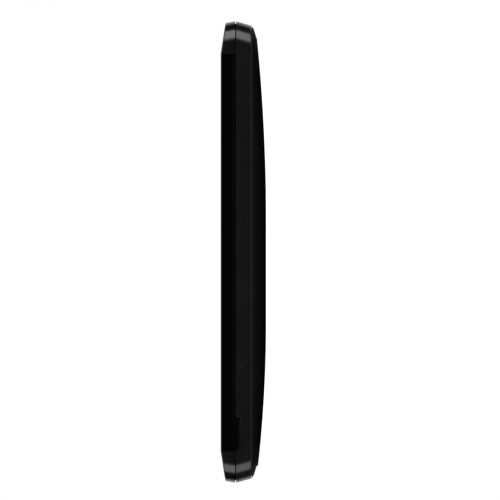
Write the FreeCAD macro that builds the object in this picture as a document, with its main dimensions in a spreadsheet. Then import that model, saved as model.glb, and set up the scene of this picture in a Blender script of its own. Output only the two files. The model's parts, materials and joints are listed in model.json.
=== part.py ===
# Slim portrait slider phone, modelled closed, lying on its back. Millimetres.
# X points to the phone's right side, Y to its earpiece end, Z out of its display.
# The origin is under the middle of the back, on the plane that the phone lies on.
# Three stacked layers make the outside: the crowned back cover, the base frame with the keypad
# deck, and the display slab that slides along Y on a steel rail module.
import FreeCAD, Part
import math
import os
import Sketcher
from FreeCAD import Rotation, Vector

SIZES = {
    # outside
    "body_length": 111.0,
    "body_width": 50.6,
    "plan_corner": 5.0,
    "cover_rise": 3.51,
    "frame_rise": 3.69,
    "slide_seam": 0.24,
    "slab_rise": 3.48,
    "slide_travel": 41.0,
    # base frame
    "frame_draft_top": 0.98,
    "frame_draft_bottom": 0.92,
    "frame_draft_side": 0.25,
    "frame_wall": 1.3,
    "frame_end_wall": 2.3,
    "frame_edge_tall": 0.3,
    "frame_edge_in": 0.15,
    "inner_corner": 3.7,
    "ledge_reach": 0.7,
    "ledge_depth": 0.5,
    # back cover
    "cover_wall": 0.8,
    "cover_gap": 0.05,
    "cover_arc_width": 12.0,
    "flat_top_end": 9.0,
    "flat_bottom_end": 18.0,
    "crown_rise_top": 2.586,
    "crown_rise_bottom": 2.383,
    "cover_end_lip": 0.97,
    "cover_end_rise": 0.6,
    "cover_end_run": 2.9,
    "cover_end_drop": 1.2,
    "hook_station": 30.0,
    "hook_length": 2.2,
    "hook_thick": 0.25,
    "hook_gap": 0.1,
    "catch_reach": 0.45,
    "catch_rise": 0.35,
    # keypad deck and number keys
    "deck_thick": 0.8,
    "deck_gap": 0.05,
    "keypad_side_margin": 4.1,
    "keypad_top_margin": 1.0,
    "keypad_bottom_margin": 3.3,
    "key_spacing": 0.8,
    "key_round": 1.6,
    "key_gap": 0.15,
    "key_below_deck": 0.08,
    "key_flange": 0.3,
    "flange_thick": 0.2,
    "flange_gap": 0.15,
    "plunger_radius": 1.2,
    "plunger_drop": 0.25,
    "dome_gap": 0.05,
    "dome_rise": 0.19,
    "dome_radius": 2.2,
    "dome_crown_radius": 1.3,
    "dome_sheet": 0.06,
    # inside of the base
    "board_thick": 0.8,
    "board_side_gap": 0.6,
    "board_below_deck": 1.1,
    "chassis_thick": 0.7,
    "chassis_side_gap": 1.2,
    "chassis_lift": 0.04,
    "battery_side_inset": 7.0,
    "battery_top_inset": 29.2,
    "battery_bottom_inset": 23.2,
    "battery_thick": 2.9,
    "battery_gap": 0.3,
    "well_wall": 0.7,
    "well_depth": 1.5,
    "boss_radius": 1.0,
    "screw_radius": 0.6,
    "screw_head_radius": 1.0,
    "screw_head": 0.45,
    "screw_gap": 0.1,
    "cross_wide": 0.24,
    "cross_deep": 0.25,
    "screw_end_inset": 1.8,
    "bottom_screw_inset": 6.5,
    "middle_screw_inset": 3.8,
    "middle_screw_lift": 3.0,
    "top_screw_inset": 9.0,
    "battery_round": 0.35,
    "board_round": 3.0,
    "well_round": 1.5,
    "box_round": 1.2,
    "sheet_round": 0.8,
    "part_round": 0.5,
    "fine_round": 0.3,
    "contact_x": 8.0,
    "contact_pitch": 3.0,
    "contact_wide": 1.0,
    "contact_pocket": 1.6,
    "contact_pocket_deep": 0.8,
    "contact_overlap": 0.4,
    "contact_block_wide": 10.0,
    "contact_block_long": 2.9,
    "contact_block_tall": 1.8,
    "contact_reach": 1.3,
    "sim_inset": 32.0,
    "sim_end_inset": 12.7,
    "sim_wide": 15.0,
    "sim_long": 11.0,
    "sim_tall": 1.1,
    "speaker_inset": 11.0,
    "speaker_wide": 14.0,
    "speaker_long": 9.0,
    "speaker_tall": 1.2,
    "speaker_slot_long": 9.0,
    "speaker_slot_tall": 0.8,
    "speaker_slot_pitch": 2.0,
    "motor_inset": 11.0,
    "motor_radius": 4.0,
    "motor_tall": 1.3,
    "mic_x": 10.5,
    "mic_end_inset": 1.9,
    "mic_radius": 1.0,
    "mic_hole": 0.35,
    "antenna_inset": 4.2,
    "antenna_wide": 25.0,
    "antenna_long": 5.6,
    "can_rise": 0.9,
    "can_sheet": 0.2,
    "can_side_inset": 4.1,
    "can_middle_gap": 2.6,
    "can_lift": 6.5,
    "left_can_top_inset": 28.2,
    "right_can_top_inset": 17.2,
    "part_gap": 0.1,
    # side keys
    "side_key_proud": 0.2,
    "side_key_gap": 0.12,
    "camera_key_from_end": 11.85,
    "camera_key_long": 8.2,
    "camera_key_tall": 0.76,
    "camera_key_cut": 0.45,
    "camera_key_travel": 0.3,
    "rocker_from_end": 29.5,
    "rocker_long": 16.0,
    "rocker_tall": 1.0,
    "rocker_z": 5.7,
    "side_key_thick": 0.95,
    "stem_half": 1.4,
    "stem_thick": 0.3,
    "stem_long": 1.4,
    "rocker_post_pitch": 10.0,
    "rocker_post_wide": 1.6,
    "rocker_round": 0.3,
    "switch_deep": 1.0,
    # slide module
    "guide_start": 8.0,
    "guide_from_end": 5.5,
    "guide_inset": 7.8,
    "guide_corner": 0.8,
    "guide_thick": 0.5,
    "guide_below_deck": 0.05,
    "flange_wall": 0.5,
    "runner_reach": 2.95,
    "runner_gap": 0.04,
    "rail_sheet": 0.3,
    "rail_lip": 0.28,
    "rail_lip_reach": 2.1,
    "rail_wall": 0.4,
    "rail_below": 0.08,
    "rail_margin": 1.0,
    "rail_side_gap": 0.4,
    "guide_hole": 0.8,
    "guide_hole_x": 13.0,
    "runner_margin": 2.0,
    "rail_screw_x": 13.0,
    "rail_screw_margin": 4.5,
    "rail_head_rise": 0.22,
    "flex_x": -10.0,
    "flex_wide": 8.0,
    "flex_long": 13.0,
    "flex_thick": 0.12,
    "flex_slot_long": 4.0,
    "spring_x": 6.0,
    "spring_wire": 0.25,
    "spring_coil": 3.2,
    "spring_leg": 9.0,
    # display slab
    "slab_draft": 0.62,
    "slab_side_draft": 0.2,
    "tray_floor": 0.3,
    "rail_bay": 1.36,
    "tray_rim": 0.66,
    "cap_top": 8.0,
    "cap_bottom": 7.8,
    "bevel_run": 6.9,
    "bevel_drop": 1.04,
    "slab_edge_round": 0.4,
    "bezel_skirt": 1.0,
    "bezel_face": 0.8,
    "bezel_gap": 0.05,
    "pocket_side_wall": 1.3,
    "pocket_end_wall": 1.3,
    "window_inset": 6.3,
    "window_from_top": 5.6,
    "key_panel_long": 27.5,
    "window_round": 1.2,
    "window_gap": 0.05,
    "panel_thick": 0.78,
    "panel_edge": 0.3,
    "panel_frame_wall": 0.5,
    "panel_shelf_low": 21.0,
    "panel_shelf_high": 5.0,
    "panel_shelf_side": 3.0,
    "earpiece_from_top": 3.3,
    "earpiece_slot": 12.0,
    "earpiece_slot_tall": 1.2,
    "earpiece_box_wide": 15.0,
    "earpiece_box_tall": 2.9,
    "earpiece_mouth_deep": 0.2,
    "grille_hole": 0.24,
    "grille_pitch": 0.8,
    "grille_deep": 0.3,
    "front_camera_inset": 11.3,
    "front_camera_radius": 1.0,
    "front_camera_box_wide": 3.8,
    "front_camera_box_tall": 3.4,
    # keys beside the display
    "nav_from_bottom": 13.7,
    "ring_outer": 8.2,
    "ring_inner": 4.35,
    "select_radius": 4.1,
    "nav_key_gap": 0.15,
    "soft_key_inset": 8.9,
    "soft_key_wide": 12.2,
    "soft_key_tall": 5.0,
    "soft_key_offset": 7.8,
    "clear_key_wide": 9.0,
    "clear_key_tall": 3.0,
    "clear_key_offset": 10.45,
    "nav_key_round": 1.0,
    "nav_key_below": 0.02,
    "nav_flange_thick": 0.22,
    "nav_flange_gap": 0.12,
    "nav_board_thick": 0.3,
    "nav_dome_rise": 0.13,
    "nav_dome_radius": 1.6,
    # back camera and its neighbours
    "camera_from_end": 14.5,
    "trim_radius": 4.6,
    "trim_wall": 1.2,
    "camera_window_gap": 0.05,
    "window_sink": 0.2,
    "flash_x": 7.6,
    "flash_radius": 1.2,
    "camera_module": 8.0,
    "lens_barrel_radius": 2.6,
    "lens_barrel_lift": 1.7,
    "lens_stop_deep": 0.5,
    "lens_stop_radius": 1.9,
    "lens_pupil_radius": 0.9,
    # bottom socket
    "socket_wide": 7.5,
    "socket_tall": 2.05,
    "socket_deep": 4.1,
    "socket_sink": 0.05,
    "socket_z": 4.98,
    "socket_gap": 0.12,
    "socket_skin": 0.25,
    "tongue_thick": 0.5,
    "tongue_inset": 1.3,
    "tongue_short": 0.8,
}


# Shares that one size takes of another
LENS_PUPIL = 0.4
LENS_STOP = 0.75
MOTOR_HUB = 0.3
FLASH_RISE = 0.8
FLASH_BOSS = 0.7
HOOK_ROOT = 0.9
BAR_FLANGE_END = 0.6
PANEL_FRAME_END = 1.4
ALMOST_ROUND = 0.49
LONG_SIDE = 0.9
# Bare windows in the antenna's film: middle across and along, width and length, as shares of the film
ANTENNA_WINDOWS = ((-1 / 5, 1 / 9, 1 / 2, 0.3), (1 / 4, -1 / 14, 0.36, 0.36))
# Sections of each slope of the back, as shares of its length
CROWN_STATIONS = (0.3, 0.55, 0.78, 1.0)

# How the edges of the slab's sloping caps are told apart: heights from the face and the front, and length
CAP_EDGE_BELOW = 0.6
CAP_EDGE_UNDER = 0.4
CAP_EDGE_LONG = 1.0
# What counts as the same place, and the least volume that a pocket takes away
NEAR = 0.01
LEAST_CUT = 0.0001
GRILLE_HOLES_PER_SIDE = 6


class Size:
    """A length together with the sheet formula that gives it."""

    def __init__(self, number, formula):
        self.number = number
        self.formula = formula

    def __add__(self, other):
        other = as_size(other)
        return Size(self.number + other.number, f"({self.formula} + {other.formula})")

    def __sub__(self, other):
        other = as_size(other)
        return Size(self.number - other.number, f"({self.formula} - {other.formula})")

    def __mul__(self, other):
        other = as_size(other)
        return Size(self.number * other.number, f"({self.formula} * {other.formula})")

    def __truediv__(self, other):
        other = as_size(other)
        return Size(self.number / other.number, f"({self.formula} / {other.formula})")

    def __neg__(self):
        return Size(-self.number, f"(0 - {self.formula})")

    def __radd__(self, other):
        return as_size(other) + self

    def __rsub__(self, other):
        return as_size(other) - self

    def __rmul__(self, other):
        return as_size(other) * self


def as_size(value):
    """The value itself if it is a Size, else a plain number as one."""
    if isinstance(value, Size):
        return value
    return Size(float(value), f"({float(value)})")


class Sheet:
    """The spreadsheet of driving dimensions, read by name."""

    def __init__(self, document, sizes):
        sheet = document.addObject("Spreadsheet::Sheet", "sizes")
        for row, (name, value) in enumerate(sizes.items(), start=1):
            sheet.set(f"A{row}", name)
            sheet.set(f"B{row}", str(value))
            sheet.setAlias(f"B{row}", name)
        document.recompute()
        self.cells = sheet

    def __getattr__(self, name):
        return Size(float(getattr(self.cells, name)), f"sizes.{name}")


doc = FreeCAD.newDocument("slider_phone")
s = Sheet(doc, SIZES)
nodes = []
pockets = []


def bind(thing, prop, value):
    """Binds one property of an object to the sheet."""
    thing.setExpression(prop, as_size(value).formula)


def keep(thing, label):
    """Marks an object as a sub-part of the phone under its own label."""
    thing.Label = label
    nodes.append(thing)
    return thing


# Outlines for sketches

class Loop:
    """An outline that a sketch can hold."""

    def place_point(self, sketch, geometry, point, x, y):
        x = as_size(x)
        y = as_size(y)
        row = sketch.addConstraint(Sketcher.Constraint("DistanceX", -1, 1, geometry, point, x.number))
        sketch.setExpression(f"Constraints[{row}]", x.formula)
        row = sketch.addConstraint(Sketcher.Constraint("DistanceY", -1, 1, geometry, point, y.number))
        sketch.setExpression(f"Constraints[{row}]", y.formula)


class Circle(Loop):
    def __init__(self, x, y, radius):
        self.x, self.y, self.radius = as_size(x), as_size(y), as_size(radius)

    def draw(self, sketch):
        centre = Vector(self.x.number, self.y.number, 0)
        ring = sketch.addGeometry(Part.Circle(centre, Vector(0, 0, 1), self.radius.number), False)
        row = sketch.addConstraint(Sketcher.Constraint("Radius", ring, self.radius.number))
        sketch.setExpression(f"Constraints[{row}]", self.radius.formula)
        self.place_point(sketch, ring, 3, self.x, self.y)


class Polygon(Loop):
    def __init__(self, points):
        self.points = [(as_size(x), as_size(y)) for x, y in points]

    def draw(self, sketch):
        spots = [Vector(x.number, y.number, 0) for x, y in self.points]
        lines = []
        for start, end in zip(spots, spots[1:] + spots[:1]):
            lines.append(sketch.addGeometry(Part.LineSegment(start, end), False))
        for line, following in zip(lines, lines[1:] + lines[:1]):
            sketch.addConstraint(Sketcher.Constraint("Coincident", line, 2, following, 1))
        for line, (x, y) in zip(lines, self.points):
            self.place_point(sketch, line, 1, x, y)


class Rectangle(Loop):
    """A rectangle given by its centre and sides, with round corners where a radius is given."""

    def __init__(self, x, y, wide, tall, corner=None):
        self.x, self.y = as_size(x), as_size(y)
        self.wide, self.tall = as_size(wide), as_size(tall)
        self.corner = None if corner is None else as_size(corner)

    def draw(self, sketch):
        left, right = self.x - self.wide / 2, self.x + self.wide / 2
        low, high = self.y - self.tall / 2, self.y + self.tall / 2
        if self.corner is None:
            Polygon([(left, low), (right, low), (right, high), (left, high)]).draw(sketch)
            return
        r = self.corner.number
        centres = [(right - self.corner, high - self.corner), (left + self.corner, high - self.corner),
                   (left + self.corner, low + self.corner), (right - self.corner, low + self.corner)]
        spots = [Vector(x.number, y.number, 0) for x, y in centres]
        quarter = math.pi / 2
        arcs = []
        for turn, spot in enumerate(spots):
            circle = Part.Circle(spot, Vector(0, 0, 1), r)
            arc = Part.ArcOfCircle(circle, turn * quarter, (turn + 1) * quarter)
            arcs.append(sketch.addGeometry(arc, False))
        sides = [(spots[0] + Vector(0, r, 0), spots[1] + Vector(0, r, 0)),
                 (spots[1] + Vector(-r, 0, 0), spots[2] + Vector(-r, 0, 0)),
                 (spots[2] + Vector(0, -r, 0), spots[3] + Vector(0, -r, 0)),
                 (spots[3] + Vector(r, 0, 0), spots[0] + Vector(r, 0, 0))]
        lines = [sketch.addGeometry(Part.LineSegment(start, end), False) for start, end in sides]
        for turn in range(4):
            sketch.addConstraint(Sketcher.Constraint("Tangent", arcs[turn], 2, lines[turn], 1))
            sketch.addConstraint(Sketcher.Constraint("Tangent", lines[turn], 2, arcs[(turn + 1) % 4], 1))
        for other in arcs[1:]:
            sketch.addConstraint(Sketcher.Constraint("Equal", arcs[0], other))
        sketch.addConstraint(Sketcher.Constraint("Horizontal", lines[0]))
        sketch.addConstraint(Sketcher.Constraint("Vertical", lines[1]))
        row = sketch.addConstraint(Sketcher.Constraint("Radius", arcs[0], r))
        sketch.setExpression(f"Constraints[{row}]", self.corner.formula)
        self.place_point(sketch, arcs[0], 3, *centres[0])
        self.place_point(sketch, arcs[2], 3, *centres[2])


class CoverSection(Loop):
    """Cross-section of the crowned back: flat middle, arcs up to the rim, level top."""

    def __init__(self, flat_half, low, rim_half, rim):
        self.flat_half, self.low = as_size(flat_half), as_size(low)
        self.rim_half, self.rim = as_size(rim_half), as_size(rim)

    def draw(self, sketch):
        span = self.rim_half.number - self.flat_half.number
        rise = self.rim.number - self.low.number
        radius = (span * span + rise * rise) / (2 * rise)
        flat, low, rim_half, rim = (self.flat_half.number, self.low.number,
                                    self.rim_half.number, self.rim.number)
        middle = Vector(flat + span / 2, low + radius - math.sqrt(radius ** 2 - (span / 2) ** 2), 0)
        right = Part.Arc(Vector(flat, low, 0), middle, Vector(rim_half, rim, 0))
        mirrored = Vector(-middle.x, middle.y, 0)
        left = Part.Arc(Vector(-rim_half, rim, 0), mirrored, Vector(-flat, low, 0))
        floor = sketch.addGeometry(Part.LineSegment(Vector(-flat, low, 0), Vector(flat, low, 0)), False)
        right = sketch.addGeometry(right, False)
        top = sketch.addGeometry(Part.LineSegment(Vector(rim_half, rim, 0), Vector(-rim_half, rim, 0)), False)
        left = sketch.addGeometry(left, False)
        sketch.addConstraint(Sketcher.Constraint("Coincident", floor, 2, right, 1))
        sketch.addConstraint(Sketcher.Constraint("Coincident", right, 2, top, 1))
        sketch.addConstraint(Sketcher.Constraint("Coincident", top, 2, left, 1))
        sketch.addConstraint(Sketcher.Constraint("Coincident", left, 2, floor, 1))
        self.place_point(sketch, floor, 1, -self.flat_half, self.low)
        self.place_point(sketch, floor, 2, self.flat_half, self.low)
        self.place_point(sketch, top, 1, self.rim_half, self.rim)
        self.place_point(sketch, top, 2, -self.rim_half, self.rim)
        for arc, side in ((right, self.flat_half), (left, -self.flat_half)):
            row = sketch.addConstraint(Sketcher.Constraint("DistanceX", -1, 1, arc, 3, side.number))
            sketch.setExpression(f"Constraints[{row}]", side.formula)


# Features

def new_body(label):
    body = doc.addObject("PartDesign::Body", label)
    body.Label = label
    return body


def sketch_on(body, role, offset, loops):
    """A sketch on one of the body's own planes, moved out along its normal."""
    plane = [item for item in body.Origin.OriginFeatures if item.Role == role][0]
    sketch = body.newObject("Sketcher::SketchObject", f"{body.Label}_sketch")
    sketch.AttachmentSupport = (plane, [""])
    sketch.MapMode = "FlatFace"
    bind(sketch, "AttachmentOffset.Base.z", offset)
    for loop in loops:
        loop.draw(sketch)
    return sketch


def pad(body, low, high, *loops):
    """Material between two heights."""
    feature = body.newObject("PartDesign::Pad", f"{body.Label}_pad")
    feature.Profile = sketch_on(body, "XY_Plane", low, loops)
    feature.Refine = False
    bind(feature, "Length", high - as_size(low))
    return feature


def pocket(body, low, high, *loops):
    """Cuts between two heights, one for each outline."""
    for loop in loops:
        feature = body.newObject("PartDesign::Pocket", f"{body.Label}_pocket")
        feature.Profile = sketch_on(body, "XY_Plane", high, [loop])
        feature.Refine = False
        bind(feature, "Length", high - as_size(low))
        pockets.append(feature)


def side_pad(body, half, loop):
    """A side profile (Y across, Z up) padded to both sides of the middle plane."""
    feature = body.newObject("PartDesign::Pad", f"{body.Label}_pad")
    feature.Profile = sketch_on(body, "YZ_Plane", 0, [loop])
    feature.Midplane = True
    bind(feature, "Length", half * 2)
    return feature


def side_pocket(body, half, *loops):
    """A side profile cut right through the width."""
    feature = body.newObject("PartDesign::Pocket", f"{body.Label}_pocket")
    feature.Profile = sketch_on(body, "YZ_Plane", 0, loops)
    feature.Midplane = True
    bind(feature, "Length", half * 2)
    pockets.append(feature)
    return feature


def round_edges(body, radius, wanted):
    """Rounds the edges that the test picks from the finished shape."""
    doc.recompute()
    base = body.Tip
    picked = [f"Edge{number}" for number, edge in enumerate(base.Shape.Edges, start=1) if wanted(edge)]
    feature = body.newObject("PartDesign::Fillet", f"{body.Label}_fillet")
    feature.Base = (base, picked)
    bind(feature, "Radius", radius)
    return feature


def box(x, y, z):
    """A box between pairs of X, Y and Z."""
    block = doc.addObject("Part::Box", "block")
    for prop, axis, (low, high) in (("Length", "x", x), ("Width", "y", y), ("Height", "z", z)):
        bind(block, prop, as_size(high) - low)
        bind(block, f"Placement.Base.{axis}", low)
    return block


def cylinder(x, y, z, radius):
    """An upright cylinder between a pair of heights."""
    rod = doc.addObject("Part::Cylinder", "rod")
    bind(rod, "Radius", radius)
    bind(rod, "Height", as_size(z[1]) - z[0])
    for axis, value in zip("xyz", (x, y, z[0])):
        bind(rod, f"Placement.Base.{axis}", value)
    return rod


def cone(x, y, z, low_radius, high_radius):
    """An upright cone frustum between a pair of heights."""
    frustum = doc.addObject("Part::Cone", "frustum")
    bind(frustum, "Radius1", low_radius)
    bind(frustum, "Radius2", high_radius)
    bind(frustum, "Height", as_size(z[1]) - z[0])
    for axis, value in zip("xyz", (x, y, z[0])):
        bind(frustum, f"Placement.Base.{axis}", value)
    return frustum


def join(*things):
    whole = doc.addObject("Part::MultiFuse", "joined")
    whole.Shapes = list(things)
    whole.Refine = True
    return whole


def subtract(base, tool):
    rest = doc.addObject("Part::Cut", "cut")
    rest.Base = base
    rest.Tool = tool
    return rest


def overlap(base, tool):
    shared = doc.addObject("Part::Common", "shared")
    shared.Base = base
    shared.Tool = tool
    return shared


def group(*things):
    several = doc.addObject("Part::Compound", "several")
    several.Links = list(things)
    return several


# Heights and half sizes that several pieces share

half_width = s.body_width / 2
half_length = s.body_length / 2
rim = s.cover_rise
deck_top = rim + s.frame_rise
slab_low = deck_top + s.slide_seam
front = slab_low + s.slab_rise
deck_low = deck_top - s.deck_thick
cavity_half_x = half_width - s.frame_wall
cavity_half_y = half_length - s.frame_end_wall
board_top = deck_low - s.board_below_deck
board_low = board_top - s.board_thick
board_half_x = cavity_half_x - s.board_side_gap
board_half_y = cavity_half_y - s.board_side_gap
chassis_low = rim + s.chassis_lift
chassis_top = chassis_low + s.chassis_thick
chassis_half_x = cavity_half_x - s.chassis_side_gap
chassis_half_y = cavity_half_y - s.part_gap * 5
screw_y = cavity_half_y - s.screw_end_inset
keypad_top = s.slide_travel - s.keypad_top_margin - half_length
screw_places = [(side * (cavity_half_x - inset), y) for side in (-1, 1)
                for inset, y in ((s.bottom_screw_inset, -screw_y),
                                 (s.middle_screw_inset, keypad_top + s.middle_screw_lift),
                                 (s.top_screw_inset, screw_y))]
camera_y = half_length - s.camera_from_end
camera_key_y = s.camera_key_from_end - half_length
rocker_y = half_length - s.rocker_from_end
guide_end = half_length - s.guide_from_end
guide_half = half_width - s.guide_inset
bezel_top = half_length - s.cap_top
bezel_bottom = half_length - s.cap_bottom


# Base frame: a drafted band with a ledge for the deck, key slots, socket opening and cover catches

def drafted_band(body, outlines):
    """A block through rounded outlines, each given by its height and how far its sides stand back."""
    sketches = []
    for height, top, bottom, side in outlines:
        outline = Rectangle(0, (as_size(bottom) - top) / 2, s.body_width - as_size(side) * 2,
                            s.body_length - as_size(top) - bottom, s.plan_corner)
        sketches.append(sketch_on(body, "XY_Plane", height, [outline]))
    loft = body.newObject("PartDesign::AdditiveLoft", f"{body.Label}_loft")
    loft.Profile = sketches[0]
    loft.Sections = sketches[1:]
    loft.Ruled = True
    return loft


def make_base_frame():
    body = new_body("base_frame")
    edge = s.frame_edge_in
    drafted_band(body, [(rim, s.frame_draft_top + edge, s.frame_draft_bottom + edge,
                         s.frame_draft_side + edge),
                        (rim + s.frame_edge_tall, s.frame_draft_top, s.frame_draft_bottom,
                         s.frame_draft_side),
                        (deck_top, 0, 0, 0)])
    ledge_low = deck_low - s.ledge_depth
    wide, tall = cavity_half_x * 2, cavity_half_y * 2
    pocket(body, deck_low, deck_top, Rectangle(0, 0, wide, tall, s.inner_corner))
    pocket(body, ledge_low, deck_low,
           Rectangle(0, 0, wide - s.ledge_reach * 2, tall - s.ledge_reach * 2, s.inner_corner))
    pocket(body, rim, ledge_low, Rectangle(0, 0, wide, tall, s.inner_corner))
    catches = []
    catch_x = cavity_half_x - s.catch_reach / 2
    for side in (-1, 1):
        for station in (-1, 1):
            catches.append(Rectangle(catch_x * side, s.hook_station * station, s.catch_reach, s.hook_length))
    catch_low = rim + s.chassis_lift
    pad(body, catch_low, catch_low + s.catch_rise, *catches)
    notch = s.camera_key_long + s.side_key_gap * 2
    reach = s.frame_wall * 2
    key_x = half_width
    pocket(body, deck_top - s.camera_key_tall - s.side_key_gap - s.key_below_deck / 2, deck_top,
           Rectangle(key_x, camera_key_y, reach + s.ledge_reach * 2, notch))
    slot = Rectangle(-key_x, rocker_y, reach + s.ledge_reach, s.rocker_long + s.side_key_gap * 2)
    pocket(body, s.rocker_z - s.rocker_tall / 2 - s.side_key_gap,
           s.rocker_z + s.rocker_tall / 2 + s.side_key_gap, slot)
    opening = Rectangle(0, -half_length, s.socket_wide + s.socket_gap * 2,
                        s.frame_end_wall * 2 + s.ledge_reach * 2)
    pocket(body, s.socket_z - s.socket_tall / 2 - s.socket_gap,
           s.socket_z + s.socket_tall / 2 + s.socket_gap, opening)
    keep(body, "base_frame")


# Keypad deck: closes the front of the base, with key openings, bosses and the bay of the guide plate

columns = [-1, 0, 1]
key_wide = ((half_width - s.keypad_side_margin) * 2 - s.key_spacing * 2) / 3
column_pitch = key_wide + s.key_spacing
keypad_bottom = s.keypad_bottom_margin - cavity_half_y
key_tall = (keypad_top - keypad_bottom - s.key_spacing * 3) / 4
row_pitch = key_tall + s.key_spacing
rows = [keypad_top - key_tall / 2 - row_pitch * row for row in range(4)]
mic_y = s.mic_end_inset - cavity_half_y


def make_keypad_deck():
    body = new_body("keypad_deck")
    wide = (cavity_half_x - s.deck_gap) * 2
    tall = (cavity_half_y - s.deck_gap) * 2
    pad(body, deck_low, deck_top, Rectangle(0, 0, wide, tall, s.inner_corner - s.deck_gap))
    bosses = [Circle(x, y, s.boss_radius) for x, y in screw_places]
    pad(body, board_top + s.dome_gap, deck_low, *bosses)
    openings = []
    for y in rows:
        for column in columns:
            openings.append(Rectangle(column_pitch * column, y, key_wide + s.key_gap * 2,
                                      key_tall + s.key_gap * 2, s.key_round + s.key_gap))
    pocket(body, deck_low, deck_top, *openings)
    bay_low = deck_top - s.guide_below_deck - s.guide_thick
    pocket(body, bay_low, deck_top,
           Rectangle(0, (s.guide_start + guide_end) / 2, (guide_half + s.part_gap) * 2,
                     guide_end - s.guide_start + s.part_gap * 2, s.guide_corner + s.part_gap))
    pocket(body, board_top + s.dome_gap, deck_low + s.deck_thick / 2,
           *[Circle(x, y, s.screw_radius) for x, y in screw_places])
    pocket(body, deck_low, deck_low + s.stem_thick + s.part_gap,
           Rectangle(cavity_half_x - s.switch_deep - s.stem_long / 2, camera_key_y,
                     s.switch_deep * 2 + s.stem_long + s.part_gap * 4, (s.stem_half + s.part_gap * 2) * 2))
    pocket(body, deck_low, deck_top, Circle(s.mic_x, mic_y, s.mic_hole))
    keep(body, "keypad_deck")


def make_number_keys():
    names = ["key_1", "key_2", "key_3", "key_4", "key_5", "key_6", "key_7", "key_8", "key_9",
             "key_star", "key_0", "key_hash"]
    flange_top = deck_low - s.flange_gap
    flange_low = flange_top - s.flange_thick
    for place, name in enumerate(names):
        x = column_pitch * columns[place % 3]
        y = rows[place // 3]
        body = new_body(name)
        pad(body, flange_low, flange_top,
            Rectangle(x, y, key_wide + s.key_flange * 2, key_tall + s.key_flange * 2, s.key_round))
        pad(body, flange_top, deck_top - s.key_below_deck, Rectangle(x, y, key_wide, key_tall, s.key_round))
        pad(body, flange_low - s.plunger_drop, flange_low, Circle(x, y, s.plunger_radius))
        keep(body, name)


def make_keypad_domes():
    sheet_top = board_top + s.dome_sheet
    middle_y = (rows[0] + rows[3]) / 2
    sheet = box((-column_pitch - key_wide / 2, column_pitch + key_wide / 2),
                (rows[3] - key_tall / 2, rows[0] + key_tall / 2), (board_top, sheet_top))
    domes = [cone(column_pitch * column, y, (sheet_top, sheet_top + s.dome_rise),
                  s.dome_radius, s.dome_crown_radius) for y in rows for column in columns]
    keep(join(sheet, *domes), "keypad_domes")


# Inside of the base

camera_half = s.camera_module / 2
speaker_x = s.speaker_inset - cavity_half_x
motor_x = cavity_half_x - s.motor_inset
sim_x = cavity_half_x - s.sim_inset
sim_y = s.sim_end_inset - cavity_half_y
socket_y = -half_length + s.frame_draft_bottom + s.socket_sink + s.socket_deep / 2
battery_wide = (cavity_half_x - s.battery_side_inset) * 2
battery_long = cavity_half_y * 2 - s.battery_top_inset - s.battery_bottom_inset
battery_y = (s.battery_bottom_inset - s.battery_top_inset) / 2
battery_end = battery_y - battery_long / 2
contact_places = [s.contact_x - s.contact_pitch, s.contact_x, s.contact_x + s.contact_pitch]


def make_main_board():
    body = new_body("main_board")
    pad(body, board_low, board_top, Rectangle(0, 0, board_half_x * 2, board_half_y * 2, s.board_round))
    holes = [Circle(x, y, s.screw_radius + s.screw_gap) for x, y in screw_places]
    holes.append(Rectangle(0, camera_y, s.camera_module + s.part_gap * 2, s.camera_module + s.part_gap * 2))
    pocket(body, board_low, board_top, *holes)
    pocket(body, board_low, board_top,
           Rectangle(0, socket_y, s.socket_wide + s.part_gap * 2, s.socket_deep + s.part_gap * 2))
    keep(body, "main_board")


def make_rear_chassis():
    body = new_body("rear_chassis")
    pad(body, chassis_low, chassis_top,
        Rectangle(0, 0, chassis_half_x * 2, chassis_half_y * 2, s.board_round))
    inner_wide = battery_wide + s.battery_gap * 2
    inner_long = battery_long + s.battery_gap * 2
    pad(body, chassis_low - s.well_depth, chassis_low,
        Rectangle(0, battery_y, inner_wide + s.well_wall * 2, inner_long + s.well_wall * 2, s.well_round))
    pocket(body, chassis_low - s.well_depth, chassis_top,
           Rectangle(0, battery_y, inner_wide, inner_long, s.sheet_round))
    pocket(body, chassis_low, chassis_top,
           Rectangle(0, camera_y, s.camera_module + s.part_gap * 4, s.camera_module + s.part_gap * 4,
                     s.part_round),
           Rectangle(speaker_x, camera_y, s.speaker_wide + s.part_gap * 4, s.speaker_long + s.part_gap * 4,
                     s.part_round),
           Circle(motor_x, camera_y, s.motor_radius + s.part_gap * 2),
           Rectangle(sim_x, sim_y, s.sim_wide + s.part_gap * 6, s.sim_long + s.part_gap * 6, s.part_round))
    contact_long = s.contact_block_long + s.contact_reach + s.contact_overlap
    pocket(body, chassis_low - s.well_depth, chassis_top,
           Rectangle(s.contact_x, battery_end + s.part_gap - contact_long / 2,
                     s.contact_block_wide + s.part_gap * 6, contact_long, s.part_round))
    pocket(body, chassis_low, chassis_top,
           Rectangle(0, socket_y, s.socket_wide + s.socket_gap * 2, s.socket_deep + s.socket_gap * 2))
    pocket(body, chassis_low, chassis_top,
           *[Circle(x, y, s.screw_radius + s.screw_gap) for x, y in screw_places])
    pocket(body, chassis_low, chassis_low + s.screw_head + s.dome_gap,
           *[Circle(x, y, s.screw_head_radius + s.screw_gap) for x, y in screw_places])
    keep(body, "rear_chassis")


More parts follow.
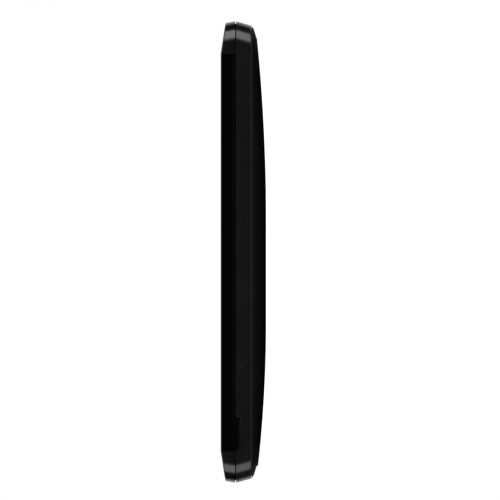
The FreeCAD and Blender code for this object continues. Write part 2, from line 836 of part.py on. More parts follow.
def make_base_screws():
    screws = []
    for x, y in screw_places:
        head_top = chassis_low + s.screw_head
        head = cylinder(x, y, (chassis_low, head_top), s.screw_head_radius)
        shank = cylinder(x, y, (head_top, deck_low + s.deck_thick / 2), s.screw_radius)
        reach, half = s.screw_radius, s.cross_wide / 2
        cross_z = (chassis_low, chassis_low + s.cross_deep)
        cross = join(box((x - reach, x + reach), (y - half, y + half), cross_z),
                     box((x - half, x + half), (y - reach, y + reach), cross_z))
        screws.append(subtract(join(head, shank), cross))
    keep(group(*screws), "base_screws")


def make_battery():
    body = new_body("battery")
    top = board_low - s.part_gap
    pad(body, top - s.battery_thick, top, Rectangle(0, battery_y, battery_wide, battery_long, s.box_round))
    pocket(body, top - s.contact_pocket_deep, top,
           *[Rectangle(x, battery_end, s.contact_pocket, s.contact_pocket) for x in contact_places])
    low = (top - s.battery_thick).number
    round_edges(body, s.battery_round, lambda edge: abs(edge.BoundBox.ZMax - low) < NEAR)
    keep(body, "battery")


def make_battery_contacts():
    top = board_low - s.part_gap
    block_end = battery_end - s.contact_reach
    half_block, half_spring = s.contact_block_wide / 2, s.contact_wide / 2
    carrier = box((s.contact_x - half_block, s.contact_x + half_block),
                  (block_end - s.contact_block_long, block_end), (top - s.contact_block_tall, top))
    spring_z = (top - s.contact_pocket_deep * 3 / 4, top - s.contact_pocket_deep / 4)
    springs = [box((x - half_spring, x + half_spring), (block_end, battery_end + s.contact_overlap), spring_z)
               for x in contact_places]
    keep(join(carrier, *springs), "battery_contacts")


def make_sim_holder():
    body = new_body("sim_holder")
    top = board_low - s.part_gap
    skin = s.part_gap * 2
    edge = skin * 5
    pad(body, top - s.sim_tall, top, Rectangle(sim_x, sim_y, s.sim_wide, s.sim_long, s.part_round))
    pocket(body, top - s.sim_tall + skin, top - s.part_gap,
           Rectangle(sim_x, sim_y - edge, s.sim_wide - edge * 2, s.sim_long - edge * 3 / 2, s.fine_round))
    pocket(body, top - s.sim_tall, top - s.sim_tall + skin,
           Rectangle(sim_x, sim_y, s.sim_wide / 2, s.sim_long / 2, s.part_round))
    keep(body, "sim_holder")


def make_camera_module():
    low = s.cover_wall + s.lens_barrel_lift
    housing_low = chassis_low - s.part_gap * 3
    housing = box((-camera_half, camera_half), (camera_y - camera_half, camera_y + camera_half),
                  (housing_low, deck_low - s.part_gap * 2))
    barrel = cylinder(0, camera_y, (low, housing_low), s.lens_barrel_radius)
    stop = cone(0, camera_y, (low, low + s.lens_stop_deep), s.lens_stop_radius, s.lens_pupil_radius)
    keep(subtract(join(housing, barrel), stop), "rear_camera_module")


def make_loudspeaker():
    body = new_body("loudspeaker")
    top = board_low - s.part_gap
    low, edge = top - s.speaker_tall, s.well_wall * 2
    pad(body, low, top, Rectangle(speaker_x, camera_y, s.speaker_wide, s.speaker_long, s.well_round))
    pocket(body, low, low + s.part_gap * 2,
           Rectangle(speaker_x, camera_y, s.speaker_wide - edge, s.speaker_long - edge, s.sheet_round))
    keep(body, "loudspeaker")


def make_vibration_motor():
    top = board_low - s.part_gap
    low = top - s.motor_tall
    can = cylinder(motor_x, camera_y, (low, top), s.motor_radius)
    step = cylinder(motor_x, camera_y, (low - s.part_gap, low), s.motor_radius * MOTOR_HUB)
    keep(join(can, step), "vibration_motor")


def make_microphone():
    can = cylinder(s.mic_x, mic_y, (board_top, deck_low - s.dome_gap), s.mic_radius)
    port = cylinder(s.mic_x, mic_y, (deck_low - s.dome_gap * 3, deck_low - s.dome_gap),
                    s.mic_hole - s.dome_gap)
    keep(subtract(can, port), "microphone")


def make_usb_port():
    body = new_body("usb_port")
    low, high = s.socket_z - s.socket_tall / 2, s.socket_z + s.socket_tall / 2
    pad(body, low, high, Rectangle(0, socket_y, s.socket_wide, s.socket_deep))
    skin = s.socket_skin
    pocket(body, low + skin, high - skin,
           Rectangle(0, socket_y - skin * 2, s.socket_wide - skin * 2, s.socket_deep + skin))
    half = s.tongue_thick / 2
    pad(body, s.socket_z - half, s.socket_z + half,
        Rectangle(0, socket_y + s.tongue_short / 2, s.socket_wide - s.tongue_inset * 2,
                  s.socket_deep - s.tongue_short))
    keep(body, "usb_port")


def make_antenna_carrier():
    body = new_body("antenna_carrier")
    low, high = board_top, deck_low - s.part_gap
    y = cavity_half_y - s.antenna_inset
    wide, long = s.antenna_wide, s.antenna_long
    pad(body, low, high, Rectangle(0, y, wide, long, s.sheet_round))
    pocket(body, high - s.flex_thick, high,
           *[Rectangle(wide * across, y + long * along, wide * broad, long * tall)
             for across, along, broad, tall in ANTENNA_WINDOWS])
    keep(body, "antenna_carrier")


def make_shield_cans():
    cans = []
    inner, outer = s.can_middle_gap / 2, cavity_half_x - s.can_side_inset
    start, top = keypad_top + s.can_lift, board_top + s.can_rise
    for side, inset in ((-1, s.left_can_top_inset), (1, s.right_can_top_inset)):
        end = cavity_half_y - inset
        x, y, wide, long = (inner + outer) / 2 * side, (start + end) / 2, outer - inner, end - start
        body = new_body(f"can_{len(cans) + 1}")
        pad(body, board_top, top, Rectangle(x, y, wide, long, s.sheet_round))
        pocket(body, board_top, top - s.can_sheet,
               Rectangle(x, y, wide - s.can_sheet * 2, long - s.can_sheet * 2, s.part_round))
        cans.append(body)
    keep(group(*cans), "shield_cans")


def make_side_switches():
    stem_end = half_width + s.side_key_proud - s.side_key_thick - s.stem_long
    switch_front = stem_end - s.camera_key_travel - s.dome_gap
    shutter = box((switch_front - s.switch_deep, switch_front),
                  (camera_key_y - s.stem_half, camera_key_y + s.stem_half),
                  (board_top, deck_low + s.stem_thick))
    half_switch = (s.rocker_post_pitch + s.rocker_post_wide * 2) / 2
    volume = box((-switch_front, -switch_front + s.switch_deep),
                 (rocker_y - half_switch, rocker_y + half_switch),
                 (board_top, s.rocker_z + s.rocker_tall / 2))
    keep(group(shutter, volume), "side_switches")


# Side keys: caps that stand proud of the frame, with stems that reach their switches

def make_camera_key():
    body = new_body("camera_key")
    high = deck_top - s.key_below_deck / 2
    low = high - s.camera_key_tall
    cap_out = half_width + s.side_key_proud
    cap_in = cap_out - s.side_key_thick
    start = camera_key_y - s.camera_key_long / 2
    end = camera_key_y + s.camera_key_long / 2
    feature = body.newObject("PartDesign::Pad", "camera_key_cap")
    profile = Polygon([(start, low), (end - s.camera_key_cut, low), (end, low + s.camera_key_cut),
                       (end, high), (start, high)])
    feature.Profile = sketch_on(body, "YZ_Plane", cap_in, [profile])
    bind(feature, "Length", s.side_key_thick)
    stem_low = deck_low + s.dome_gap / 2
    pad(body, stem_low, stem_low + s.stem_thick,
        Rectangle(cap_in - s.stem_long / 2 + s.part_gap, camera_key_y, s.stem_long + s.part_gap * 2,
                  s.stem_half * 2))
    keep(body, "camera_key")


def make_volume_rocker():
    body = new_body("volume_rocker")
    cap_out = -half_width - s.side_key_proud
    cap_in = cap_out + s.side_key_thick
    low, high = s.rocker_z - s.rocker_tall / 2, s.rocker_z + s.rocker_tall / 2
    pad(body, low, high, Rectangle((cap_out + cap_in) / 2, rocker_y, s.side_key_thick, s.rocker_long))
    posts = [Rectangle(cap_in + s.stem_long / 2, rocker_y + s.rocker_post_pitch / 2 * side,
                       s.stem_long, s.rocker_post_wide) for side in (-1, 1)]
    pad(body, s.rocker_z - s.stem_thick / 2, s.rocker_z + s.stem_thick / 2, *posts)
    round_edges(body, s.rocker_round, lambda edge: edge.BoundBox.ZLength > s.rocker_tall.number - NEAR
                and edge.BoundBox.XMax < cap_out.number + NEAR)
    keep(body, "volume_rocker")


# Back cover: crowned shell, flat where the phone lies, with end slopes of large radius

def crown(y):
    """Height of the back's middle line at a place past its flat stretch."""
    if y.number > 0:
        share = (y - s.flat_top_end) / (half_length - s.flat_top_end)
        return s.crown_rise_top * share * share
    share = (-y - s.flat_bottom_end) / (half_length - s.flat_bottom_end)
    return s.crown_rise_bottom * share * share


def crowned_block(label, wall):
    """The solid above the crowned back surface, moved in by a wall."""
    body = new_body(label)
    flat_half = half_width - s.cover_arc_width
    rim_half = half_width - wall
    top = rim + s.cover_gap

    def section(y, low):
        loop = CoverSection(flat_half, low + wall, rim_half, top)
        return sketch_on(body, "XZ_Plane", -as_size(y), [loop])

    middle = body.newObject("PartDesign::Pad", f"{label}_middle")
    middle.Profile = section(s.flat_top_end, as_size(0))
    bind(middle, "Length", s.flat_top_end + s.flat_bottom_end)
    for direction, start in ((1, s.flat_top_end), (-1, s.flat_bottom_end)):
        loft = body.newObject("PartDesign::AdditiveLoft", f"{label}_slope")
        loft.Profile = section(start * direction, as_size(0))
        places = [(start + (half_length - start) * share) * direction for share in CROWN_STATIONS]
        loft.Sections = [section(place, crown(place)) for place in places]
    return body


camera_reach = (camera_y - s.flat_top_end) / (half_length - s.flat_top_end)
camera_slope = s.crown_rise_top * 2 * camera_reach / (half_length - s.flat_top_end)


def tilted(thing, x, lift):
    """Places a round piece square to the sloping back at the camera, a lift above its surface."""
    thing.Placement.Rotation = Rotation(Vector(1, 0, 0), 1.0)
    bind(thing, "Placement.Base.x", x)
    bind(thing, "Placement.Base.y", camera_y - as_size(lift) * camera_slope)
    bind(thing, "Placement.Base.z", crown(camera_y) + lift)
    bind(thing, "Placement.Rotation.Angle", camera_slope * math.degrees(1))
    return thing


def upright(radius, height):
    rod = doc.addObject("Part::Cylinder", "rod")
    bind(rod, "Radius", radius)
    bind(rod, "Height", height)
    return rod


def make_back_cover():
    outer = crowned_block("cover_outside", 0)
    inner = crowned_block("cover_inside", s.cover_wall)
    end_top = half_length - s.frame_draft_top - s.frame_edge_in
    end_bottom = half_length - s.frame_draft_bottom - s.frame_edge_in
    centre = (end_top - end_bottom) / 2
    half_x = half_width - s.frame_draft_side - s.frame_edge_in
    top = rim - s.cover_gap
    plan = new_body("cover_plan")
    pad(plan, -s.cover_wall, top, Rectangle(0, centre, half_x * 2, end_top + end_bottom, s.plan_corner))
    plan_inside = new_body("cover_plan_inside")
    pad(plan_inside, 0, rim + s.cover_wall,
        Rectangle(0, centre, (half_x - s.cover_wall) * 2, end_top + end_bottom - s.cover_wall * 3,
                  s.plan_corner - s.cover_wall))
    profile = new_body("cover_profile")
    side_pad(profile, s.body_width, Polygon([
        (-end_bottom, rim), (-end_bottom, top), (-end_bottom + s.cover_end_lip, top - s.cover_end_rise),
        (-end_bottom + s.cover_end_run, top - s.cover_end_drop),
        (-end_bottom + s.cover_end_run, -s.cover_wall),
        (end_top - s.cover_end_run, -s.cover_wall), (end_top - s.cover_end_run, top - s.cover_end_drop),
        (end_top - s.cover_end_lip, top - s.cover_end_rise), (end_top, top), (end_top, rim)]))
    shell = subtract(overlap(overlap(outer, plan), profile), overlap(inner, plan_inside))
    openings = []
    for x, radius in ((0, s.trim_radius), (s.flash_x, s.flash_radius)):
        cutter = upright(radius + s.camera_window_gap, s.cover_wall * 4)
        openings.append(tilted(cutter, x, -s.cover_wall * 2))
    half_long, half_tall = s.speaker_slot_long / 2, s.speaker_slot_tall / 2
    for row in (-1, 0, 1):
        slot_y = camera_y + s.speaker_slot_pitch * row
        openings.append(box((speaker_x - half_long, speaker_x + half_long),
                            (slot_y - half_tall, slot_y + half_tall), (0, rim - s.cover_gap)))
    shell = subtract(shell, join(*openings))
    hooks = []
    nose_low = rim + s.chassis_lift + s.catch_rise + s.hook_gap
    post_out = cavity_half_x - s.catch_reach - s.hook_gap
    post_in = post_out - s.hook_thick
    for side in (-1, 1):
        for station in (-1, 1):
            y = (s.hook_station * station - s.hook_length / 2, s.hook_station * station + s.hook_length / 2)
            edges = (post_in, post_out) if side > 0 else (-post_out, -post_in)
            nose_out = cavity_half_x - s.hook_gap
            nose = (post_in, nose_out) if side > 0 else (-nose_out, -post_in)
            hooks.append(box(edges, y, (rim - s.cover_wall * HOOK_ROOT, nose_low + s.hook_thick)))
            hooks.append(box(nose, y, (nose_low, nose_low + s.hook_thick)))
    keep(join(shell, *hooks), "back_cover")


def make_camera_trim():
    ring = subtract(upright(s.trim_radius, s.cover_wall), upright(s.trim_radius - s.trim_wall, s.cover_wall))
    keep(tilted(ring, 0, s.dome_gap), "camera_trim")


def make_camera_window():
    glass = upright(s.trim_radius - s.trim_wall - s.camera_window_gap, s.cover_wall - s.window_sink)
    keep(tilted(glass, 0, s.dome_gap + s.window_sink), "camera_window")


def make_flash_lens():
    dome = upright(s.flash_radius, s.cover_wall * FLASH_RISE)
    flange = upright(s.flash_radius * FLASH_BOSS, s.cover_wall)
    keep(tilted(join(dome, flange), s.flash_x, s.dome_gap), "flash_lens")


# Slide module: a guide plate with runners on the base, and a channelled rail plate on the display

guide_high = deck_top - s.guide_below_deck
guide_low = guide_high - s.guide_thick
lip_low = slab_low + s.rail_below
lip_high = lip_low + s.rail_lip
bay_top = slab_low + s.rail_bay
sheet_high = bay_top - s.dome_gap
sheet_low = sheet_high - s.rail_sheet
runner_out = guide_half + s.runner_reach
rail_in = runner_out + s.bezel_gap
rail_out = rail_in + s.rail_wall
lip_in = rail_in - s.rail_lip_reach
rail_start = s.guide_start - s.slide_travel - s.rail_margin
rail_end = guide_end + s.rail_margin
guide_middle = (s.guide_start + guide_end) / 2
guide_long = guide_end - s.guide_start


def make_guide_plate():
    body = new_body("slide_guide_plate")
    pad(body, guide_low, guide_high, Rectangle(0, guide_middle, guide_half * 2, guide_long, s.guide_corner))
    flanges = [Rectangle((guide_half - s.flange_wall / 2) * side, guide_middle, s.flange_wall,
                         guide_long - s.runner_margin * 3 / 2) for side in (-1, 1)]
    pad(body, guide_low, sheet_low - s.runner_gap, *flanges)
    flex_slot = Rectangle(s.flex_x, s.guide_start + s.flex_slot_long * 3 / 2,
                          s.flex_wide + s.flex_slot_long / 2, s.flex_slot_long, s.guide_hole)
    relief = Rectangle(0, camera_y, s.camera_module * 7 / 4, s.camera_module + s.part_gap * 10, s.guide_hole)
    holes = [Circle(x, y, s.guide_hole) for x in (-s.guide_hole_x, s.guide_hole_x)
             for y in (s.guide_start + s.runner_margin * 3 / 2, guide_end - s.runner_margin * 3 / 2)]
    pocket(body, guide_low, guide_high, flex_slot, relief, *holes)
    keep(body, "slide_guide_plate")


def make_runners():
    runners = []
    for side in (-1, 1):
        x = (guide_half, runner_out) if side > 0 else (-runner_out, -guide_half)
        runners.append(box(x, (s.guide_start + s.runner_margin, guide_end - s.runner_margin),
                           (lip_high + s.runner_gap, sheet_low - s.runner_gap)))
    keep(group(*runners), "slide_runners")


def make_rail_plate():
    body = new_body("slide_rail_plate")
    section = Polygon([(-lip_in, lip_low), (-lip_in, lip_high), (-rail_in, lip_high), (-rail_in, sheet_low),
                       (rail_in, sheet_low), (rail_in, lip_high), (lip_in, lip_high), (lip_in, lip_low),
                       (rail_out, lip_low), (rail_out, sheet_high), (-rail_out, sheet_high),
                       (-rail_out, lip_low)])
    feature = body.newObject("PartDesign::Pad", "rail_section")
    feature.Profile = sketch_on(body, "XZ_Plane", -rail_end, [section])
    bind(feature, "Length", rail_end - rail_start)
    relief = s.rail_screw_x * 2 - s.screw_head_radius * 6
    pocket(body, sheet_low, sheet_high, Rectangle(0, rail_end - relief / 2, relief, relief / 2, s.guide_hole),
           Rectangle(0, rail_start + relief / 2, relief, relief / 2, s.guide_hole),
           *[Circle(x, y, s.screw_radius + s.screw_gap) for x, y in rail_screw_places])
    keep(body, "slide_rail_plate")


rail_screw_places = [(s.rail_screw_x * side, y) for side in (-1, 1)
                     for y in (rail_start + s.rail_screw_margin, rail_end - s.rail_screw_margin)]


def make_rail_screws():
    screws = []
    for x, y in rail_screw_places:
        head = cylinder(x, y, (sheet_low - s.rail_head_rise, sheet_low), s.screw_head_radius)
        shank = cylinder(x, y, (sheet_low, bay_top + s.tray_floor - s.dome_gap), s.screw_radius)
        screws.append(join(head, shank))
    keep(group(*screws), "rail_screws")


def make_slide_spring():
    z = (guide_high + sheet_low) / 2
    x, y = s.spring_x, guide_middle
    bend = doc.addObject("Part::Torus", "spring_bend")
    bind(bend, "Radius1", s.spring_coil)
    bind(bend, "Radius2", s.spring_wire)
    bend.Angle1 = -180
    bend.Angle2 = 180
    bend.Angle3 = 180
    for axis, value in zip("xyz", (x, y, z)):
        bind(bend, f"Placement.Base.{axis}", value)
    legs = []
    for side in (-1, 1):
        rod = upright(s.spring_wire, s.spring_leg)
        rod.Placement.Rotation = Rotation(Vector(1, 0, 0), 90)
        for axis, value in zip("xyz", (x + s.spring_coil * side, y, z)):
            bind(rod, f"Placement.Base.{axis}", value)
        legs.append(rod)
    keep(join(bend, *legs), "slide_spring")


def make_slide_flex():
    low, high = guide_high + s.dome_gap, sheet_low - s.dome_gap
    z = (low + high) / 2
    x, y = s.flex_x, guide_middle
    bends = []
    for radius in ((high - low) / 2, (high - low) / 2 - s.flex_thick):
        rod = upright(radius, s.flex_wide)
        rod.Angle = 180
        rod.Placement.Rotation = Rotation(Vector(0, 1, 0), 90)
        for axis, value in zip("xyz", (x - s.flex_wide / 2, y, z)):
            bind(rod, f"Placement.Base.{axis}", value)
        bends.append(rod)
    across = (x - s.flex_wide / 2, x + s.flex_wide / 2)
    lower = box(across, (y - s.flex_long, y), (low, low + s.flex_thick))
    upper = box(across, (y - s.flex_long, y), (high - s.flex_thick, high))
    keep(join(subtract(bends[0], bends[1]), lower, upper), "slide_flex")


# Display slab: bevelled end caps and rim in one tray, under a glossy bezel with side skirts

skirt_low = slab_low + s.tray_rim
face_low = front - s.bezel_face
skirt_in = half_width - s.bezel_skirt
floor_top = bay_top + s.tray_floor


def slab_side(z):
    """Half width of the slab at a height, by its side draft."""
    return half_width - s.slab_side_draft * (z - slab_low) / s.slab_rise


def bezel_section(gap, outer_low, outer_high, top):
    """Cross-section of the bezel: a channel with a skirt down each side."""
    inner = skirt_in - gap
    return Polygon([(-outer_low, skirt_low - gap), (-inner, skirt_low - gap), (-inner, face_low - gap),
                    (inner, face_low - gap), (inner, skirt_low - gap), (outer_low, skirt_low - gap),
                    (outer_high, top), (-outer_high, top)])


nav_y = s.nav_from_bottom - bezel_bottom
soft_key_x = half_width - s.soft_key_inset
bar_keys = {
    "left_soft_key": (-soft_key_x, nav_y + s.soft_key_offset, s.soft_key_wide, s.soft_key_tall),
    "right_soft_key": (soft_key_x, nav_y + s.soft_key_offset, s.soft_key_wide, s.soft_key_tall),
    "send_key": (-soft_key_x, nav_y - s.soft_key_offset, s.soft_key_wide, s.soft_key_tall),
    "end_key": (soft_key_x, nav_y - s.soft_key_offset, s.soft_key_wide, s.soft_key_tall),
    "clear_key": (as_size(0), nav_y - s.clear_key_offset, s.clear_key_wide, s.clear_key_tall),
}
tab_start = camera_key_y - s.camera_key_long / 2 - s.side_key_gap
tab_end = camera_key_y + s.camera_key_long / 2 + s.side_key_gap
window_wide = (half_width - s.window_inset) * 2
window_top = bezel_top - s.window_from_top
window_bottom = s.key_panel_long - bezel_bottom
window_tall = window_top - window_bottom
window_y = (window_top + window_bottom) / 2
earpiece_y = bezel_top - s.earpiece_from_top
front_camera_x = half_width - s.front_camera_inset


def make_front_bezel():
    body = new_body("front_bezel")
    feature = body.newObject("PartDesign::Pad", "bezel_section")
    feature.Profile = sketch_on(body, "XZ_Plane", -bezel_top,
                                [bezel_section(0, slab_side(skirt_low), slab_side(front), front)])
    bind(feature, "Length", bezel_top + bezel_bottom)
    pad(body, slab_low + s.bezel_gap, skirt_low,
        Rectangle(half_width - s.bezel_skirt / 2 - s.slab_side_draft / 4, (tab_start + tab_end) / 2,
                  s.bezel_skirt - s.slab_side_draft / 2, tab_end - tab_start - s.bezel_gap * 2))
    long_side = (bezel_top + bezel_bottom).number * LONG_SIDE
    round_edges(body, s.slab_edge_round, lambda edge: edge.BoundBox.YLength > long_side
                and edge.BoundBox.ZMin > front.number - NEAR)
    pocket(body, face_low, front, Rectangle(0, window_y, window_wide, window_tall, s.window_round),
           Rectangle(0, earpiece_y, s.earpiece_slot, s.earpiece_slot_tall,
                     s.earpiece_slot_tall * ALMOST_ROUND),
           Circle(front_camera_x, earpiece_y, s.front_camera_radius + s.bezel_gap),
           Circle(0, nav_y, s.ring_outer + s.nav_key_gap),
           *[Rectangle(x, y, wide + s.nav_key_gap * 2, tall + s.nav_key_gap * 2,
                       s.nav_key_round + s.nav_key_gap) for x, y, wide, tall in bar_keys.values()])
    keep(body, "front_bezel")


def make_display_tray():
    form = new_body("slab_form")
    drafted_band(form, [(slab_low, 0, 0, 0), (front, s.slab_draft, s.slab_draft, s.slab_side_draft)])
    run, drop, over = s.bevel_run * 3 / 2, s.bevel_drop * 3 / 2, front + s.bezel_skirt
    side_pocket(form, s.body_width,
                Polygon([(bezel_top, front), (bezel_top + run, front - drop),
                         (bezel_top + run, over), (bezel_top, over)]),
                Polygon([(-bezel_bottom, front), (-bezel_bottom - run, front - drop),
                         (-bezel_bottom - run, over), (-bezel_bottom, over)]))
    round_edges(form, s.slab_edge_round, lambda edge: edge.BoundBox.ZMin > face_low.number - CAP_EDGE_BELOW
                and edge.BoundBox.ZMax < front.number - CAP_EDGE_UNDER
                and edge.BoundBox.XLength > CAP_EDGE_LONG)
    zone = new_body("bezel_zone")
    feature = zone.newObject("PartDesign::Pad", "zone_section")
    wide = half_width + s.bezel_skirt
    feature.Profile = sketch_on(zone, "XZ_Plane", -bezel_top - s.bezel_gap,
                                [bezel_section(s.bezel_gap, wide, wide, front + s.bezel_skirt)])
    bind(feature, "Length", bezel_top + bezel_bottom + s.bezel_gap * 2)
    pocket_x = skirt_in - s.pocket_side_wall
    pocket_low = s.pocket_end_wall - bezel_bottom
    pocket_high = bezel_top - s.pocket_end_wall
    hollow = box((-pocket_x, pocket_x), (pocket_low, pocket_high), (floor_top, front + s.bezel_skirt))
    bay_x = rail_out + s.rail_side_gap
    bay = box((-bay_x, bay_x), (rail_start - s.rail_side_gap, rail_end + s.rail_side_gap),
              (slab_low - s.bezel_skirt, bay_top))
    tab = box((skirt_in - s.bezel_gap, half_width + s.bezel_skirt), (tab_start, tab_end),
              (slab_low - s.bezel_skirt, skirt_low + s.bezel_gap))
    holes = [cylinder(x, y, (bay_top - s.bezel_gap, floor_top + s.bezel_gap), s.screw_radius + s.bezel_gap)
             for x, y in rail_screw_places]
    keep(subtract(form, join(zone, hollow, bay, tab, *holes)), "display_tray")


def make_display_window():
    body = new_body("display_window")
    pad(body, face_low, front, Rectangle(0, window_y, window_wide - s.window_gap * 2,
                                         window_tall - s.window_gap * 2, s.window_round - s.window_gap))
    keep(body, "display_window")


def make_panel():
    high = face_low - s.bezel_gap
    low = high - s.panel_thick
    wide, tall = window_wide - s.panel_edge, window_tall - s.panel_edge
    panel = new_body("lcd_panel")
    pad(panel, low, high, Rectangle(0, window_y, wide, tall, s.fine_round))
    keep(panel, "lcd_panel")
    frame = new_body("lcd_frame")
    outer_wide, outer_tall = wide + s.panel_frame_wall * 2, tall + s.panel_frame_wall * PANEL_FRAME_END
    pad(frame, floor_top, high, Rectangle(0, window_y, outer_wide, outer_tall, s.part_round))
    pocket(frame, low - s.bezel_gap, high,
           Rectangle(0, window_y, wide + s.bezel_gap * 2, tall + s.bezel_gap * 2, s.fine_round))
    opening_tall = tall - s.panel_shelf_low - s.panel_shelf_high
    opening_y = window_y + (s.panel_shelf_low - s.panel_shelf_high) / 2
    pocket(frame, floor_top, low,
           Rectangle(0, opening_y, wide - s.panel_shelf_side * 2, opening_tall, s.sheet_round))
    keep(frame, "lcd_frame")


def make_earpiece():
    high = face_low - s.bezel_gap
    body = new_body("earpiece")
    y = earpiece_y + s.part_gap
    pad(body, floor_top, high, Rectangle(0, y, s.earpiece_box_wide, s.earpiece_box_tall, s.box_round))
    pocket(body, high - s.earpiece_mouth_deep, high,
           Rectangle(0, y, s.earpiece_slot - s.part_gap * 10, s.earpiece_slot_tall + s.part_gap * 2,
                     s.part_round))
    keep(body, "earpiece")
    grille = new_body("earpiece_grille")
    pad(grille, face_low, front - s.window_sink,
        Rectangle(0, earpiece_y, s.earpiece_slot - s.window_gap * 2, s.earpiece_slot_tall - s.window_gap * 2,
                  s.part_round))
    pocket(grille, front - s.window_sink - s.grille_deep, front - s.window_sink,
           *[Circle(s.grille_pitch * step, earpiece_y, s.grille_hole)
             for step in range(-GRILLE_HOLES_PER_SIDE, GRILLE_HOLES_PER_SIDE + 1)])
    keep(grille, "earpiece_grille")


def make_front_camera():
    high = face_low - s.bezel_gap
    half_wide, half_tall = s.front_camera_box_wide / 2, s.front_camera_box_tall / 2
    lens_top = front - s.window_sink
    housing = box((front_camera_x - half_wide, front_camera_x + half_wide),
                  (earpiece_y - half_tall, earpiece_y + half_tall), (floor_top, high))
    barrel = cylinder(front_camera_x, earpiece_y, (high, lens_top), s.front_camera_radius)
    stop = cone(front_camera_x, earpiece_y, (lens_top - s.grille_deep, lens_top),
                s.front_camera_radius * LENS_PUPIL, s.front_camera_radius * LENS_STOP)
    keep(subtract(join(housing, barrel), stop), "front_camera")


# Keys beside the display: flush caps with flanges under the bezel, over domes on a thin board

nav_flange_top = face_low - s.nav_flange_gap
nav_flange_low = nav_flange_top - s.nav_flange_thick
key_top = front - s.nav_key_below
nav_board_top = floor_top + s.nav_board_thick


def make_bar_keys():
    for name, (x, y, wide, tall) in bar_keys.items():
        body = new_body(name)
        pad(body, nav_flange_low, nav_flange_top,
            Rectangle(x, y, wide + s.key_flange * 2, tall + s.key_flange * BAR_FLANGE_END, s.nav_key_round))
        pad(body, nav_flange_top, key_top, Rectangle(x, y, wide, tall, s.nav_key_round))
        keep(body, name)


def make_ring_key():
    body = new_body("nav_ring")
    pad(body, nav_flange_low, nav_flange_top, Circle(0, nav_y, s.ring_outer + s.key_flange * 3 / 2))
    pad(body, nav_flange_top, key_top, Circle(0, nav_y, s.ring_outer))
    pocket(body, nav_flange_low, key_top, Circle(0, nav_y, s.ring_inner))
    keep(body, "nav_ring")
    select = new_body("select_key")
    pad(select, nav_flange_low, key_top, Circle(0, nav_y, s.select_radius))
    keep(select, "select_key")


def make_nav_board():
    body = new_body("nav_board")
    low = -bezel_bottom + s.pocket_end_wall + s.part_gap
    high = window_bottom - s.panel_frame_wall - s.part_gap * 2
    half_x = skirt_in - s.pocket_side_wall - s.part_gap * 2
    pad(body, floor_top, nav_board_top, Rectangle(0, (low + high) / 2, half_x * 2, high - low, s.sheet_round))
    keep(body, "nav_board")
    domes = []
    ring_middle = (s.ring_outer + s.ring_inner) / 2
    for x, y in ((ring_middle, nav_y), (-ring_middle, nav_y), (as_size(0), nav_y + ring_middle),
                 (as_size(0), nav_y - ring_middle), (as_size(0), nav_y)):
        domes.append((x, y))
    domes += [(x, y) for x, y, wide, tall in bar_keys.values()]
    top = nav_board_top + s.nav_dome_rise
    cones = [cone(x, y, (nav_board_top, top), s.nav_dome_radius, s.nav_dome_radius / 2) for x, y in domes]
    keep(group(*cones), "nav_domes")


for make in (make_base_frame, make_keypad_deck, make_number_keys, make_keypad_domes, make_main_board,
             make_rear_chassis, make_base_screws, make_battery, make_battery_contacts, make_sim_holder,
             make_camera_module, make_loudspeaker, make_vibration_motor, make_microphone, make_usb_port,
             make_antenna_carrier, make_shield_cans, make_side_switches, make_camera_key, make_volume_rocker,
             make_back_cover, make_camera_trim, make_camera_window, make_flash_lens, make_guide_plate,
             make_runners, make_rail_plate, make_rail_screws, make_slide_spring, make_slide_flex,
             make_front_bezel, make_display_tray, make_display_window, make_panel, make_earpiece,
             make_front_camera, make_bar_keys, make_ring_key, make_nav_board):
    make()

doc.recompute()
failed = [thing.Label for thing in doc.Objects if "Invalid" in thing.State or "Error" in thing.State]
if failed:
    raise RuntimeError(f"objects failed to build: {failed}")
for cut in pockets:
    if cut.Shape.Volume > cut.BaseFeature.Shape.Volume - LEAST_CUT:
        raise RuntimeError(f"{cut.Label} cuts nothing")
for node in nodes:
    if node.Shape.isNull() or not node.Shape.isValid() or not node.Shape.Solids:
        raise RuntimeError(f"{node.Label} has no valid solid")

os.makedirs("parts", exist_ok=True)
for node in nodes:
    node.Shape.exportStep(f"parts/{node.Label}.step")
box_all = Part.makeCompound([node.Shape for node in nodes]).BoundBox
print(f"{len(nodes)} sub-parts, {box_all.XLength:.2f} x {box_all.YLength:.2f} x {box_all.ZLength:.2f} mm")
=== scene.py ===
# %% [markdown]
# # A slim slider phone, dressed for its portrait
# The model of the phone comes in as a fixed frame: every plastic shell, key and steel sheet lies where
# its drawing puts it, in metres, with X to the phone's right, Y to its earpiece end and Z out of its
# display. This lesson adds the camera, the studio, the finishes, and finer pieces for what shows.

# %% Load the frame
import bpy
import bmesh
import json
import math
from mathutils import Matrix, Vector

